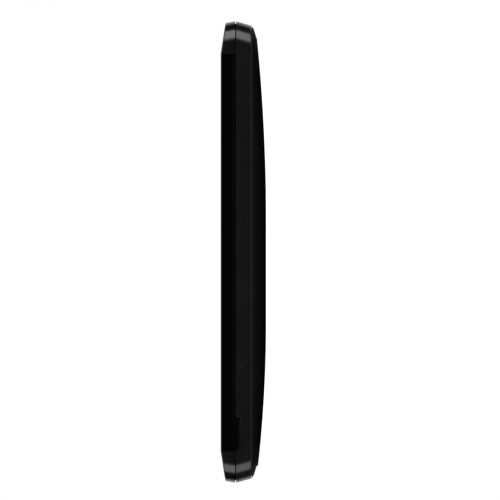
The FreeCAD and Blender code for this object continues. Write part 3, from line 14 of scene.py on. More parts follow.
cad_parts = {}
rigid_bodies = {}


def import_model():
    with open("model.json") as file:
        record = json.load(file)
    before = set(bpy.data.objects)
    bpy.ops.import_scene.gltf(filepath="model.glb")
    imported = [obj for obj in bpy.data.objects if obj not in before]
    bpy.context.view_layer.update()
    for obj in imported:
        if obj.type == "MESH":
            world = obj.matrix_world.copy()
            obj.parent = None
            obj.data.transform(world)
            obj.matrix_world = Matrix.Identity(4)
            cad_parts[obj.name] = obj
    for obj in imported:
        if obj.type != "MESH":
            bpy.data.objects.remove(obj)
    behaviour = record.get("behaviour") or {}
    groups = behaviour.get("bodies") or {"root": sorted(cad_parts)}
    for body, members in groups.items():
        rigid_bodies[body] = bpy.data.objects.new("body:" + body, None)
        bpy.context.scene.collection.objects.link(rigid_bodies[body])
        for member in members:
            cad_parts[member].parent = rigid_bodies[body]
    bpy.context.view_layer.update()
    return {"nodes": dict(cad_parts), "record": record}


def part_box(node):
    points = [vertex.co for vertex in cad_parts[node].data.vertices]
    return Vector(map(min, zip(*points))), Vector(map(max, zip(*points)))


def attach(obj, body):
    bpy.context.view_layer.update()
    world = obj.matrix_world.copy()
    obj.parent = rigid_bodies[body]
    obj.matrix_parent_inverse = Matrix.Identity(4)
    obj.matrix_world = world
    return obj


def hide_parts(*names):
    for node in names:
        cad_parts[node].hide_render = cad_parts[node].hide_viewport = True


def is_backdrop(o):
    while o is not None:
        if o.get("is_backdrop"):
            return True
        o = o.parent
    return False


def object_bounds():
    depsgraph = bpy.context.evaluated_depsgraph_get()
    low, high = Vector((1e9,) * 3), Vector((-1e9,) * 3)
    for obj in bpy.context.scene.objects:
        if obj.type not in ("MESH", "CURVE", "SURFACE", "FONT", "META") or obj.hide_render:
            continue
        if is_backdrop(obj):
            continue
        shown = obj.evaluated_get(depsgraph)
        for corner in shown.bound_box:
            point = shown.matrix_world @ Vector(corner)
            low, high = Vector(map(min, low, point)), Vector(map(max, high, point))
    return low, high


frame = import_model()
MM = 0.001

# %% [markdown]
# ## Camera
# The photograph is a pure side view: the phone's right side faces the lens, its display is at the left
# and its earpiece end is up. A long lens two metres away keeps the picture as flat as that. The turn
# puts the picture's right along the phone's -Z and its up along +Y.

# %% Camera
PICTURE_WIDTH = 119.95 * MM
VIEW_Y = 0.48 * MM
VIEW_Z = 3.87 * MM
DISTANCE = 2.0
CLIP_NEAR, CLIP_FAR = 0.1, 20
side_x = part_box("base_frame")[1][0]

camera_data = bpy.data.cameras.new("side_camera")
camera_data.lens = DISTANCE * camera_data.sensor_width / PICTURE_WIDTH
camera_data.clip_start = CLIP_NEAR
camera_data.clip_end = CLIP_FAR
camera = bpy.data.objects.new("side_camera", camera_data)
bpy.context.scene.collection.objects.link(camera)
right, up, back = (0, 0, -1), (0, 1, 0), (1, 0, 0)
turn = Matrix((right, up, back)).transposed().to_4x4()
camera.matrix_world = Matrix.Translation((side_x + DISTANCE, VIEW_Y, VIEW_Z)) @ turn
bpy.context.scene.camera = camera
print(f"lens {camera_data.lens:.0f} mm at {DISTANCE} m")

# %% [markdown]
# ## White air and a pale floor
# The photograph has a white ground without a horizon. A white world alone would also light the phone
# from everywhere and turn its black to grey. So the air is full white only where the lens, a mirror or
# a window looks, which a Light Path node tells, and lights the phone much less. The floor gets its
# white the same way, by a glow that scattered light doesn't see.

# %% Helpers for pieces and materials
def select_only(thing):
    bpy.ops.object.select_all(action="DESELECT")
    thing.select_set(True)
    bpy.context.view_layer.objects.active = thing


def new_material(name):
    material = bpy.data.materials.new(name)
    material.use_nodes = True
    material.node_tree.nodes.clear()
    return material


def add_node(owner, kind, **values):
    """A node of a material or world, with its settings and unlinked inputs filled in."""
    node = owner.node_tree.nodes.new(kind)
    for name, value in values.items():
        if name in node.inputs:
            node.inputs[name].default_value = value
        else:
            setattr(node, name, value)
    return node


def seen_directly(owner):
    """One where the lens, a mirror or a window looks, and nothing for scattered light."""
    path = add_node(owner, "ShaderNodeLightPath")
    seen = path.outputs["Is Camera Ray"]
    for ray in ("Is Glossy Ray", "Is Transmission Ray"):
        either = add_node(owner, "ShaderNodeMath", operation="MAXIMUM")
        owner.node_tree.links.new(seen, either.inputs[0])
        owner.node_tree.links.new(path.outputs[ray], either.inputs[1])
        seen = either.outputs[0]
    return seen


# %% Air and floor
AIR_LIGHT = 0.3
FLOOR_GLOW = 0.74
FLOOR_GREY = (0.9, 0.9, 0.9, 1)
WHITE = (1, 1, 1, 1)
FLOOR_SIZE = 12
FLOOR_DROP = 0.05 * MM

world = bpy.data.worlds.new("studio_air")
bpy.context.scene.world = world
world.use_nodes = True
world.node_tree.nodes.clear()
soft = add_node(world, "ShaderNodeBackground", Color=WHITE, Strength=AIR_LIGHT)
white = add_node(world, "ShaderNodeBackground", Color=WHITE, Strength=1.0)
choice = add_node(world, "ShaderNodeMixShader")
output = add_node(world, "ShaderNodeOutputWorld")
links = world.node_tree.links
links.new(seen_directly(world), choice.inputs[0])
links.new(soft.outputs[0], choice.inputs[1])
links.new(white.outputs[0], choice.inputs[2])
links.new(choice.outputs[0], output.inputs[0])

floor_material = new_material("pale_floor")
paint = add_node(floor_material, "ShaderNodeBsdfDiffuse", Color=FLOOR_GREY)
glow = add_node(floor_material, "ShaderNodeEmission", Color=WHITE)
share = add_node(floor_material, "ShaderNodeMath", operation="MULTIPLY")
share.inputs[1].default_value = FLOOR_GLOW
blend = add_node(floor_material, "ShaderNodeAddShader")
output = add_node(floor_material, "ShaderNodeOutputMaterial")
links = floor_material.node_tree.links
links.new(seen_directly(floor_material), share.inputs[0])
links.new(share.outputs[0], glow.inputs["Strength"])
links.new(paint.outputs[0], blend.inputs[0])
links.new(glow.outputs[0], blend.inputs[1])
links.new(blend.outputs[0], output.inputs[0])

bpy.ops.mesh.primitive_plane_add(size=FLOOR_SIZE, location=(0, 0, -FLOOR_DROP))
floor = bpy.context.object
floor.name = "floor"
floor.data.materials.append(floor_material)
floor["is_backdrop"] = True
print(f"air at {AIR_LIGHT} of full white, floor {FLOOR_SIZE} m wide")

# %% [markdown]
# ## Lamps
# Black plastic shows its form by what it mirrors. Two soft panels stand obliquely beyond both ends of
# the side that the camera sees, so the round corners of both ends catch a soft band each, and a wide
# panel overhead lights the front. Area lamps are used because their size sets how soft a band is.

# %% Soft panels
MIDDLE = (0.025, 0, 0.005)


def add_panel(name, place, size, power):
    """A soft rectangular lamp that faces the middle of the phone's side."""
    lamp = bpy.data.lights.new(name, "AREA")
    lamp.shape = "RECTANGLE"
    lamp.size, lamp.size_y = size
    lamp.energy = power
    thing = bpy.data.objects.new(name, lamp)
    bpy.context.scene.collection.objects.link(thing)
    thing.location = place
    thing.rotation_euler = (Vector(place) - Vector(MIDDLE)).to_track_quat("Z", "Y").to_euler()
    return thing


def around(distance, degrees, height):
    """A place at a distance from the phone, turned from its right side toward its earpiece end."""
    turn = math.radians(degrees)
    return (distance * math.cos(turn), distance * math.sin(turn), height)


side_lamps = [
    add_panel("earpiece_side_panel", around(distance=0.95, degrees=47, height=0.24),
              size=(0.8, 0.5), power=4.6),
    add_panel("socket_side_panel", around(distance=0.95, degrees=-42, height=0.24),
              size=(0.75, 0.5), power=2.85),
]
add_panel("overhead_panel", place=(-0.25, 0.1, 1.1), size=(1.4, 1.4), power=3.0)
print(len(side_lamps) + 1, "lamps")

# %% [markdown]
# ## Cards and a mirror that only reflections see
# The flat side of the phone faces the lens squarely, so it would mirror the white air behind the
# camera. A black card beside the lens keeps it deep, as a photographer's flag does, and two more stand
# past the ends. A mirror on the floor lets the lower half of the side see those cards too. Each is a
# plane whose ray visibility is switched off for the camera, shadows and scattered light.

# %% Black cards and a mirror on the floor
CARD_BLACK = (0.003, 0.003, 0.003, 1)
MIRROR_GREY = (0.85, 0.85, 0.85, 1)
MIRROR_DROP = 0.03 * MM
UPRIGHT = math.radians(90)


def plain_material(name, kind, **values):
    """A material of one shader."""
    material = new_material(name)
    shader = add_node(material, kind, **values)
    output = add_node(material, "ShaderNodeOutputMaterial")
    material.node_tree.links.new(shader.outputs[0], output.inputs[0])
    return material


def add_card(name, place, turn, size, material):
    bpy.ops.mesh.primitive_plane_add(size=1, location=place, rotation=turn)
    thing = bpy.context.object
    thing.name = name
    thing.scale = (size[0], size[1], 1)
    thing.data.materials.append(material)
    thing.visible_camera = False
    thing.visible_diffuse = False
    thing.visible_shadow = False
    thing.visible_transmission = False
    thing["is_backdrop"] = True


card = plain_material("black_card", "ShaderNodeBsdfDiffuse", Color=CARD_BLACK)
mirror = plain_material("black_glass", "ShaderNodeBsdfGlossy", Color=MIRROR_GREY, Roughness=0.0)
add_card("card_beside_lens", place=(1.2, 0, 0.68), turn=(0, UPRIGHT, 0), size=(1.36, 3.2), material=card)
for name, y in (("card_past_earpiece_end", 1.6), ("card_past_socket_end", -1.6)):
    add_card(name, place=(0.1, y, 0.9), turn=(UPRIGHT, 0, 0), size=(2.2, 1.8), material=card)
add_card("mirror_on_floor", place=(0, 0, -MIRROR_DROP), turn=(0, 0, 0), size=(2.4, 2.4), material=mirror)
print("three cards and a mirror")

bpy.context.scene.view_settings.view_transform = "Standard"

# %% [markdown]
# ## Finishes
# Moulded plastic isn't one flat colour: the mould's spark-eroded skin gives a fine grain, handling
# polishes it here and there, and its colour drifts a little. Each finish below has a noise for the
# grain as bump, a slower one for roughness, and a faint one for colour, all on Object coordinates so
# that the pattern is fixed to the piece.

# %% One recipe for plastics and metals
DRIFT_SCALE = 90.0
WEAR_SCALE = 260.0
GRAIN_HEIGHT = 0.02 * MM
COAT_ROUGHNESS = 0.03
LEAST_ROUGHNESS = 0.01
BRUSHED_ALONG_Y = (1, 0.06, 1)


def surface(name, colour, roughness, grain=0.0, grain_size=0.12, drift=0.12, metallic=0.0, level=0.5,
            coat=0.0, brushed=None, spread=0.05):
    """A finish: colour with a faint drift, roughness with a slow change, and a grain as bump."""
    material = new_material(name)
    links = material.node_tree.links
    shader = add_node(material, "ShaderNodeBsdfPrincipled")
    shader.inputs["Metallic"].default_value = metallic
    shader.inputs["Specular IOR Level"].default_value = level
    shader.inputs["Coat Weight"].default_value = coat
    shader.inputs["Coat Roughness"].default_value = COAT_ROUGHNESS
    place = add_node(material, "ShaderNodeTexCoord").outputs["Object"]
    if brushed is not None:
        mapping = add_node(material, "ShaderNodeMapping")
        mapping.inputs["Scale"].default_value = brushed
        links.new(place, mapping.inputs["Vector"])
        place = mapping.outputs["Vector"]

    slow = add_node(material, "ShaderNodeTexNoise", Scale=DRIFT_SCALE, Detail=3.0)
    links.new(place, slow.inputs["Vector"])
    tint = add_node(material, "ShaderNodeMapRange")
    tint.inputs["To Min"].default_value = 1 - drift
    tint.inputs["To Max"].default_value = 1 + drift
    links.new(slow.outputs["Fac"], tint.inputs["Value"])
    shade = add_node(material, "ShaderNodeVectorMath", operation="SCALE")
    shade.inputs[0].default_value = colour
    links.new(tint.outputs["Result"], shade.inputs["Scale"])
    links.new(shade.outputs["Vector"], shader.inputs["Base Color"])

    wear = add_node(material, "ShaderNodeTexNoise", Scale=WEAR_SCALE, Detail=4.0)
    links.new(place, wear.inputs["Vector"])
    polish = add_node(material, "ShaderNodeMapRange")
    polish.inputs["To Min"].default_value = max(roughness - spread, LEAST_ROUGHNESS)
    polish.inputs["To Max"].default_value = roughness + spread
    links.new(wear.outputs["Fac"], polish.inputs["Value"])
    links.new(polish.outputs["Result"], shader.inputs["Roughness"])

    if grain > 0:
        skin = add_node(material, "ShaderNodeTexNoise", Scale=1 / (grain_size * MM), Detail=2.0)
        links.new(place, skin.inputs["Vector"])
        bump = add_node(material, "ShaderNodeBump", Strength=grain, Distance=GRAIN_HEIGHT)
        links.new(skin.outputs["Fac"], bump.inputs["Height"])
        links.new(bump.outputs["Normal"], shader.inputs["Normal"])
    output = add_node(material, "ShaderNodeOutputMaterial")
    links.new(shader.outputs[0], output.inputs[0])
    return material


# %% Plastics, metals and films of the phone
satin_band = surface("satin_side_band", (0.003, 0.003, 0.0031), 0.25, grain=0.2, level=0.64)
satin_cap = surface("satin_end_caps", (0.0015, 0.0015, 0.0016), 0.23, grain=0.2, level=0.6)
cap_front = surface("soft_touch_cap_front", (0.004, 0.004, 0.0041), 0.5, grain=0.2, level=0.12)
# A darker, barely glossy copy of the end-cap finish: painted shade along the middle of the slab's sides.
painted_shade_strip = surface("dark_slab_strip", (0.001, 0.001, 0.001), 0.3, grain=0.1, level=0.12)
soft_black = surface("soft_black_cover", (0.0055, 0.0055, 0.0056), 0.55, grain=0.3, level=0.2)
gloss_black = surface("polished_black", (0.0024, 0.0024, 0.0025), 0.06, drift=0.05, level=0.4,
                      spread=0.015)
deck_black = surface("keypad_deck_black", (0.012, 0.012, 0.0125), 0.4, grain=0.3)
key_black = surface("keycap_black", (0.016, 0.016, 0.0165), 0.28, grain=0.1)
inside_black = surface("inside_black", (0.02, 0.02, 0.02), 0.5, grain=0.3)
window_glass = surface("window_glass", (0.002, 0.002, 0.0024), 0.03, drift=0.05, level=0.6,
                       spread=0.008)
panel_dark = surface("liquid_crystal_panel", (0.012, 0.013, 0.016), 0.15)
plated = surface("satin_plated_ring", (0.42, 0.42, 0.43), 0.28, metallic=1.0, grain=0.05, drift=0.04)
sheet_steel = surface("brushed_sheet_steel", (0.46, 0.46, 0.47), 0.3, metallic=1.0,
                      brushed=BRUSHED_ALONG_Y, drift=0.06)
board_green = surface("board_lacquer", (0.012, 0.09, 0.035), 0.35, grain=0.2)
flex_amber = surface("flex_film", (0.35, 0.13, 0.02), 0.3, grain=0.1)
battery_wrap = surface("battery_wrap", (0.03, 0.03, 0.032), 0.4, grain=0.15)
acetal = surface("acetal_runner", (0.62, 0.6, 0.55), 0.35, grain=0.1)
lens_window = surface("camera_window_glass", (0.9, 0.9, 0.9), 0.02, drift=0.02, spread=0.008)
dark_steel = surface("blackened_rail_steel", (0.07, 0.07, 0.072), 0.35, metallic=1.0,
                     brushed=BRUSHED_ALONG_Y, drift=0.08)
clear_lens = surface("flash_lens_plastic", (0.55, 0.54, 0.48), 0.12, grain=0.3, grain_size=0.5)
print(len(bpy.data.materials), "materials")

# %% [markdown]
# ## Finishes that follow a shape
# Three finishes follow the form of their piece. The display window is printed black around the part
# that lights up, so its colour changes at that border. The ring key was turned on a lathe, which
# leaves fine circles around its middle. The flash lens is pressed with circular ridges. Border and
# circles come from the way to the middle of the piece, measured on Object coordinates.

# %% Printed window, turned ring, ridged flash
RING_PITCH, RING_DEPTH = 0.16, 0.25
RIDGE_PITCH, RIDGE_DEPTH = 0.3, 0.9
PRINTED_SIDE, PRINTED_ENDS = 1.9, 2.4
PRINT_BLACK = (0.0008, 0.0008, 0.0009, 1)
LIT_GREY = (0.011, 0.0125, 0.016, 1)


def shader_of(material):
    return next(node for node in material.node_tree.nodes if node.type == "BSDF_PRINCIPLED")


def middle_of(node):
    """Middle of a piece seen from the front, in millimetres."""
    low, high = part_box(node)
    return (low[0] + high[0]) / 2 / MM, (low[1] + high[1]) / 2 / MM


def way_from_middle(material, node):
    """The vector from the middle of a piece, which lies at height zero."""
    x, y = middle_of(node)
    place = add_node(material, "ShaderNodeTexCoord")
    offset = add_node(material, "ShaderNodeVectorMath", operation="SUBTRACT")
    offset.inputs[1].default_value = (x * MM, y * MM, 0)
    material.node_tree.links.new(place.outputs["Object"], offset.inputs[0])
    return offset.outputs["Vector"]


def calculate(material, operation, value, constant=0.0):
    """A math node on a value, with a constant as its second number."""
    node = add_node(material, "ShaderNodeMath", operation=operation)
    node.inputs[1].default_value = constant
    material.node_tree.links.new(value, node.inputs[0])
    return node.outputs[0]


def add_circles(material, node, pitch, depth):
    """Circular ridges around the middle of a piece, as bump, with a pitch in millimetres."""
    links = material.node_tree.links
    flat = add_node(material, "ShaderNodeVectorMath", operation="MULTIPLY")
    flat.inputs[1].default_value = (1, 1, 0)
    length = add_node(material, "ShaderNodeVectorMath", operation="LENGTH")
    links.new(way_from_middle(material, node), flat.inputs[0])
    links.new(flat.outputs["Vector"], length.inputs[0])
    turns = calculate(material, "MULTIPLY", length.outputs["Value"], 2 * math.pi / (pitch * MM))
    bump = add_node(material, "ShaderNodeBump", Strength=depth, Distance=GRAIN_HEIGHT)
    links.new(calculate(material, "SINE", turns), bump.inputs["Height"])
    links.new(bump.outputs["Normal"], shader_of(material).inputs["Normal"])


add_circles(plated, "nav_ring", RING_PITCH, RING_DEPTH)
add_circles(clear_lens, "flash_lens", RIDGE_PITCH, RIDGE_DEPTH)

low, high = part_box("display_window")
lit_x = high[0] - PRINTED_SIDE * MM
lit_y = (high[1] - low[1]) / 2 - PRINTED_ENDS * MM
links = window_glass.node_tree.links
reach = add_node(window_glass, "ShaderNodeVectorMath", operation="ABSOLUTE")
apart = add_node(window_glass, "ShaderNodeSeparateXYZ")
both = add_node(window_glass, "ShaderNodeMath", operation="MULTIPLY")
links.new(way_from_middle(window_glass, "display_window"), reach.inputs[0])
links.new(reach.outputs["Vector"], apart.inputs[0])
links.new(calculate(window_glass, "LESS_THAN", apart.outputs["X"], lit_x), both.inputs[0])
links.new(calculate(window_glass, "LESS_THAN", apart.outputs["Y"], lit_y), both.inputs[1])
colours = add_node(window_glass, "ShaderNodeMix", data_type="RGBA")
border, lit = [item for item in colours.inputs if item.type == "RGBA"]
border.default_value = PRINT_BLACK
lit.default_value = LIT_GREY
links.new(both.outputs[0], colours.inputs["Factor"])
printed = next(item for item in colours.outputs if item.type == "RGBA")
links.new(printed, shader_of(window_glass).inputs["Base Color"])
print(f"lit part {lit_x * 2 / MM:.1f} by {lit_y * 2 / MM:.1f} mm")

# %% [markdown]
# ## Dressing the nodes
# The record of the phone names a kind of surface for each piece, such as the shell's satin or the
# key's plastic. One table turns those kinds into finishes, so no piece is forgotten. Three pieces
# differ from their kind: the slab's end caps are blacker than the side band, the rail plate is
# blackened steel, and the window of the back camera is clear glass that lets light through.

# %% Dress the nodes
GLASS_IOR = 1.5
finishes = {
    "satin_shell": satin_band, "cover_plastic": soft_black, "gloss_black": gloss_black,
    "deck_plastic": deck_black, "key_plastic": key_black, "nav_metal": plated, "select_plastic": key_black,
    "screen_glass": window_glass, "panel": panel_dark, "steel": sheet_steel, "runner_plastic": acetal,
    "board": board_green, "flex": flex_amber, "battery_wrap": battery_wrap, "black_parts": inside_black,
    "sim_metal": sheet_steel, "grille_mesh": inside_black, "flash_plastic": clear_lens,
}
slot_of = {entry["node"]: entry["material_slot"] for entry in frame["record"]["subparts"]}
body_of = {name: thing.parent.name.removeprefix("body:") for name, thing in frame["nodes"].items()}
for name, thing in frame["nodes"].items():
    thing.data.materials.clear()
    thing.data.materials.append(finishes[slot_of[name]])
frame["nodes"]["display_tray"].data.materials[0] = satin_cap
frame["nodes"]["slide_rail_plate"].data.materials[0] = dark_steel
shader_of(lens_window).inputs["Transmission Weight"].default_value = 1.0
shader_of(lens_window).inputs["IOR"].default_value = GLASS_IOR
frame["nodes"]["camera_window"].data.materials[0] = lens_window
print(len(finishes), "kinds of surface on", len(slot_of), "nodes")

# %% [markdown]
# ## Soft edges on the moulded pieces
# No moulded edge is a mathematical corner: the tool leaves a radius of a tenth of a millimetre or so,
# and that radius is what catches a thin line of light. A copy of each piece is welded, its flat faces
# are joined, and a bevel runs along the edges picked by where they lie. The copy then stands in for
# the piece, so size and place stay as drawn.

# %% A copy with rounded edges
SHARP = math.radians(28)
SMOOTH = math.radians(32)
FLAT = math.radians(0.3)
WELD = 0.001 * MM
SEGMENTS = 3


def apply_modifiers(thing):
    select_only(thing)
    for modifier in list(thing.modifiers):
        bpy.ops.object.modifier_apply(modifier=modifier.name)


def rounded_copy(node, edge, wanted, cuts=()):
    """A welded copy of a piece, rounded by an edge radius in millimetres where a test picks its edges.

    Its faces are first split at the cuts, which are places along Y in millimetres.
    """
    source = frame["nodes"][node]
    mesh = source.data.copy()
    copy = bpy.data.objects.new(f"{node}_moulded", mesh)
    bpy.context.scene.collection.objects.link(copy)
    copy.matrix_world = source.matrix_world.copy()
    form = bmesh.new()
    form.from_mesh(mesh)
    bmesh.ops.remove_doubles(form, verts=form.verts, dist=WELD)
    bmesh.ops.dissolve_limit(form, angle_limit=FLAT, verts=form.verts, edges=form.edges)
    for y in cuts:
        everything = form.verts[:] + form.edges[:] + form.faces[:]
        bmesh.ops.bisect_plane(form, geom=everything, plane_co=(0, y * MM, 0), plane_no=(0, 1, 0))
    weights = form.edges.layers.float.new("bevel_weight_edge")
    picked = 0
    for side in form.edges:
        if len(side.link_faces) == 2 and side.calc_face_angle(0) > SHARP:
            middle = (side.verts[0].co + side.verts[1].co) / 2 / MM
            if wanted(middle):
                side[weights] = 1.0
                picked += 1
    form.to_mesh(mesh)
    form.free()
    bevel = copy.modifiers.new("soft_edge", "BEVEL")
    bevel.limit_method = "WEIGHT"
    bevel.width = edge * MM
    bevel.segments = SEGMENTS
    bevel.use_clamp_overlap = True
    apply_modifiers(copy)
    bpy.ops.object.shade_smooth_by_angle(angle=SMOOTH)
    level = copy.modifiers.new("flat_faces_stay_flat", "WEIGHTED_NORMAL")
    level.keep_sharp = True
    apply_modifiers(copy)
    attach(copy, body_of[node])
    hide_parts(node)
    print(f"{node}: {picked} edges rounded by {edge} mm, {len(copy.data.polygons)} faces")
    return copy


# %% Shells
# Limits that pick edges and faces, in millimetres: how far out, how far up and how low they lie
NEAR_SIDE, SKIRT_SIDE = 24.6, 25.0
NEAR_END, CAP_START, COVER_END = 53.0, 47.0, 53.9
NEAR_FRONT, CAP_FRONT, COVER_RIM = 10.8, 9.7, 3.3
FACING_FRONT = 0.85


def outside(reach_x, reach_y):
    return lambda middle: abs(middle.x) > reach_x or abs(middle.y) > reach_y


def near_front(middle):
    return middle.z > NEAR_FRONT


rounded_copy("base_frame", 0.1, outside(NEAR_SIDE, NEAR_END))
rounded_copy("back_cover", 0.07, lambda middle: middle.z < COVER_RIM and abs(middle.y) < COVER_END)
low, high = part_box("front_bezel")
strip_low, strip_high = low[1] / MM, high[1] / MM
tray = rounded_copy("display_tray", 0.1, outside(NEAR_SIDE, CAP_START), cuts=(strip_low, strip_high))
tray.data.materials.append(painted_shade_strip)
tray.data.materials.append(cap_front)
# The slab's sides beside the bezel get painted shade: a darker, barely glossy copy of the end-cap finish.
for face in tray.data.polygons:
    x, y, z = face.center / MM
    beside_bezel = strip_low < y < strip_high
    if beside_bezel and abs(x) > NEAR_SIDE:
        face.material_index = tray.data.materials.find(painted_shade_strip.name)
    elif not beside_bezel and z > CAP_FRONT and face.normal.z > FACING_FRONT:
        face.material_index = tray.data.materials.find(cap_front.name)
rounded_copy("front_bezel", 0.07, lambda middle: near_front(middle) or abs(middle.x) > SKIRT_SIDE)
rounded_copy("display_window", 0.05, near_front)

# %% Keys, lens trim and side keys
KEY_TOP, DECK_TOP, SEAM = 7.0, 7.19, 7.1
KEY_FRONT, ROCKER_FRONT = 25.0, -25.2
TRIM_LOW, FLASH_LOW = 1.75, 1.6
number_keys = [node for node in slot_of if node.startswith("key_")]

for node in number_keys:
    rounded_copy(node, 0.3, lambda middle: middle.z > KEY_TOP)
for node in ("left_soft_key", "right_soft_key", "send_key", "end_key", "clear_key"):
    rounded_copy(node, 0.16, near_front)
rounded_copy("nav_ring", 0.22, near_front)
rounded_copy("camera_key", 0.08, lambda middle: middle.x > KEY_FRONT and middle.z < SEAM)
rounded_copy("volume_rocker", 0.15, lambda middle: middle.x < ROCKER_FRONT)
rounded_copy("camera_trim", 0.14, lambda middle: middle.z < TRIM_LOW)
rounded_copy("flash_lens", 0.12, lambda middle: middle.z < FLASH_LOW)
rounded_copy("keypad_deck", 0.06, lambda middle: middle.z > DECK_TOP)

# %% [markdown]
# ## Painted shade in the two long seams
# A closed slider's seams are dark inside. Two near-black rings in a felt finish stand in for that shade:
# one under the display slab, on the deck, and one in the joint of the back cover. They are painted
# shade, and they keep light from shining through the seams. A ring could be two outlines bridged
# together. Here a plane gets round corners by a vertex bevel, an inset leaves a narrow rim, the middle
# is deleted and the rim is extruded to its height.

# %% Rings in the seams
CORNER_STEPS = 12


def open_mesh(thing):
    """Opens a piece in edit mode, with its whole mesh selected."""
    select_only(thing)
    bpy.ops.object.mode_set(mode="EDIT")
    bpy.ops.mesh.select_all(action="SELECT")


def move_mesh(thing, x, y, z):
    """Moves the mesh, in millimetres, and leaves the object at its own place."""
    open_mesh(thing)
    bpy.ops.transform.translate(value=(x * MM, y * MM, z * MM))
    bpy.ops.object.mode_set(mode="OBJECT")


def resize_mesh(thing, wide, long, tall):
    """Stretches a mesh whose own size is 1, in millimetres."""
    open_mesh(thing)
    bpy.ops.transform.resize(value=(wide * MM, long * MM, tall * MM))
    bpy.ops.object.mode_set(mode="OBJECT")


def raise_rim(thing, wall, height):
    """Turns a flat face into a ring with a wall and a height in millimetres."""
    open_mesh(thing)
    bpy.ops.mesh.inset(thickness=wall * MM)
    bpy.ops.mesh.delete(type="FACE")
    bpy.ops.mesh.select_all(action="SELECT")
    bpy.ops.mesh.extrude_region_move(TRANSFORM_OT_translate={"value": (0, 0, height * MM)})
    bpy.ops.mesh.select_all(action="SELECT")
    bpy.ops.mesh.normals_make_consistent(inside=False)
    bpy.ops.object.mode_set(mode="OBJECT")


def add_ring(name, half_wide, low_end, high_end, corner, wall, low, high, material, body):
    """A flat ring with round corners, in millimetres, from a plane whose corners are bevelled."""
    bpy.ops.mesh.primitive_plane_add(size=1)
    thing = bpy.context.object
    thing.name = name
    resize_mesh(thing, half_wide * 2, high_end - low_end, 1)
    move_mesh(thing, 0, (high_end + low_end) / 2, low)
    open_mesh(thing)
    bpy.ops.mesh.bevel(offset=corner * MM, segments=CORNER_STEPS, affect="VERTICES")
    bpy.ops.object.mode_set(mode="OBJECT")
    raise_rim(thing, wall, high - low)
    thing.data.materials.append(material)
    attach(thing, body)
    print(f"{name}: {len(thing.data.polygons)} faces")
    return thing


# A near-black felt finish: the foam behind the loudspeaker, and painted shade in the two long seams.
seam_shade_and_foam = surface("black_felt", (0.0012, 0.0012, 0.0012), 0.9, grain=0.5, grain_size=0.08, level=0.1)
# The two seam rings are painted shade: near-black, so that the seams stay dark.
add_ring("glide_ring", half_wide=24.7, low_end=-54.9, high_end=54.9, corner=4.4, wall=1.1,
         low=7.22, high=7.45, material=seam_shade_and_foam, body="display")
add_ring("joint_ring", half_wide=24.4, low_end=-53.9, high_end=53.85, corner=4.5, wall=0.4,
         low=3.43, high=3.505, material=seam_shade_and_foam, body="cover")

# %% [markdown]
# ## Legends on the keys
# The legends of a keypad are pad-printed and sit a few hundredths of a millimetre proud of the cap.
# Each starts as a text object, gets a little thickness, becomes a mesh, and is then moved to its key
# in edit mode, so that it rides with the key when it is pressed. The digit stands left and the three
# letters right, as on every telephone.

# %% Printed legends
INK = 0.012
DIGIT_HEIGHT, LETTER_HEIGHT, C_HEIGHT = 4.6, 2.5, 2.4
FROM_MIDDLE = 2.7
STAR_DROP, LETTER_DROP, C_DROP = 0.9, 0.1, 0.05
legend_white = surface("legend_ink", (0.62, 0.62, 0.6), 0.45, drift=0.04, grain=0.1, grain_size=0.05)
legend_green = surface("call_green", (0.03, 0.42, 0.08), 0.45, drift=0.05, grain=0.1, grain_size=0.05)
legend_red = surface("hang_up_red", (0.55, 0.02, 0.02), 0.45, drift=0.05, grain=0.1, grain_size=0.05)


def add_legend(name, words, height, place, material, body):
    """A word in thin raised ink, centred on a place on the front of a key."""
    bpy.ops.object.text_add()
    thing = bpy.context.object
    thing.name = name
    thing.data.body = words
    thing.data.size = height * MM
    thing.data.align_x = "CENTER"
    thing.data.align_y = "CENTER"
    thing.data.extrude = INK / 2 * MM
    thing.data.resolution_u = 4
    bpy.ops.object.convert(target="MESH")
    move_mesh(thing, *place)
    thing.data.materials.append(material)
    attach(thing, body)


def top_of(node):
    """Middle and top of a piece, in millimetres."""
    return *middle_of(node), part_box(node)[1][2] / MM


letters = {"2": "abc", "3": "def", "4": "ghi", "5": "jkl", "6": "mno", "7": "pqrs", "8": "tuv", "9": "wxyz",
           "0": "+"}
signs = {"key_star": "*", "key_hash": "#"}
for node in sorted(number_keys):
    sign = signs.get(node, node[-1])
    x, y, z = top_of(node)
    drop = STAR_DROP if sign == "*" else 0.0
    add_legend(f"{node}_digit", sign, DIGIT_HEIGHT, (x - FROM_MIDDLE, y - drop, z), legend_white, node)
    if sign in letters:
        place = (x + FROM_MIDDLE, y - LETTER_DROP, z)
        add_legend(f"{node}_letters", letters[sign], LETTER_HEIGHT, place, legend_white, node)
print(len(number_keys), "keys with legends,", len(letters), "of them with letters")

# %% [markdown]
# ## Signs beside the display
# The two soft keys carry a short bar, the call keys a handset in green and in red, and the small key a
# C. A handset is a flat outline drawn as a curve: an arc with two thick ends. It is filled, given the
# thickness of ink and turned to a mesh. The ring key has a small triangle toward each side.

# %% Handsets, bars and arrows
HANDSET_WIDE, HANDSET_TILT = 2.4, 25
ARC_STEPS = 14
BAR_HALF_WIDE, BAR_HALF_TALL = 1.3, 0.16
ARROW_REACH = 6.3


def arc(radius, start, end):
    """Points on an arc around the origin, between two angles in degrees."""
    turns = [math.radians(start + (end - start) * step / ARC_STEPS) for step in range(ARC_STEPS + 1)]
    return [(radius * math.cos(turn), radius * math.sin(turn)) for turn in turns]


def turned(points, degrees):
    """Points turned around the origin."""
    cos, sin = math.cos(math.radians(degrees)), math.sin(math.radians(degrees))
    return [(x * cos - y * sin, x * sin + y * cos) for x, y in points]


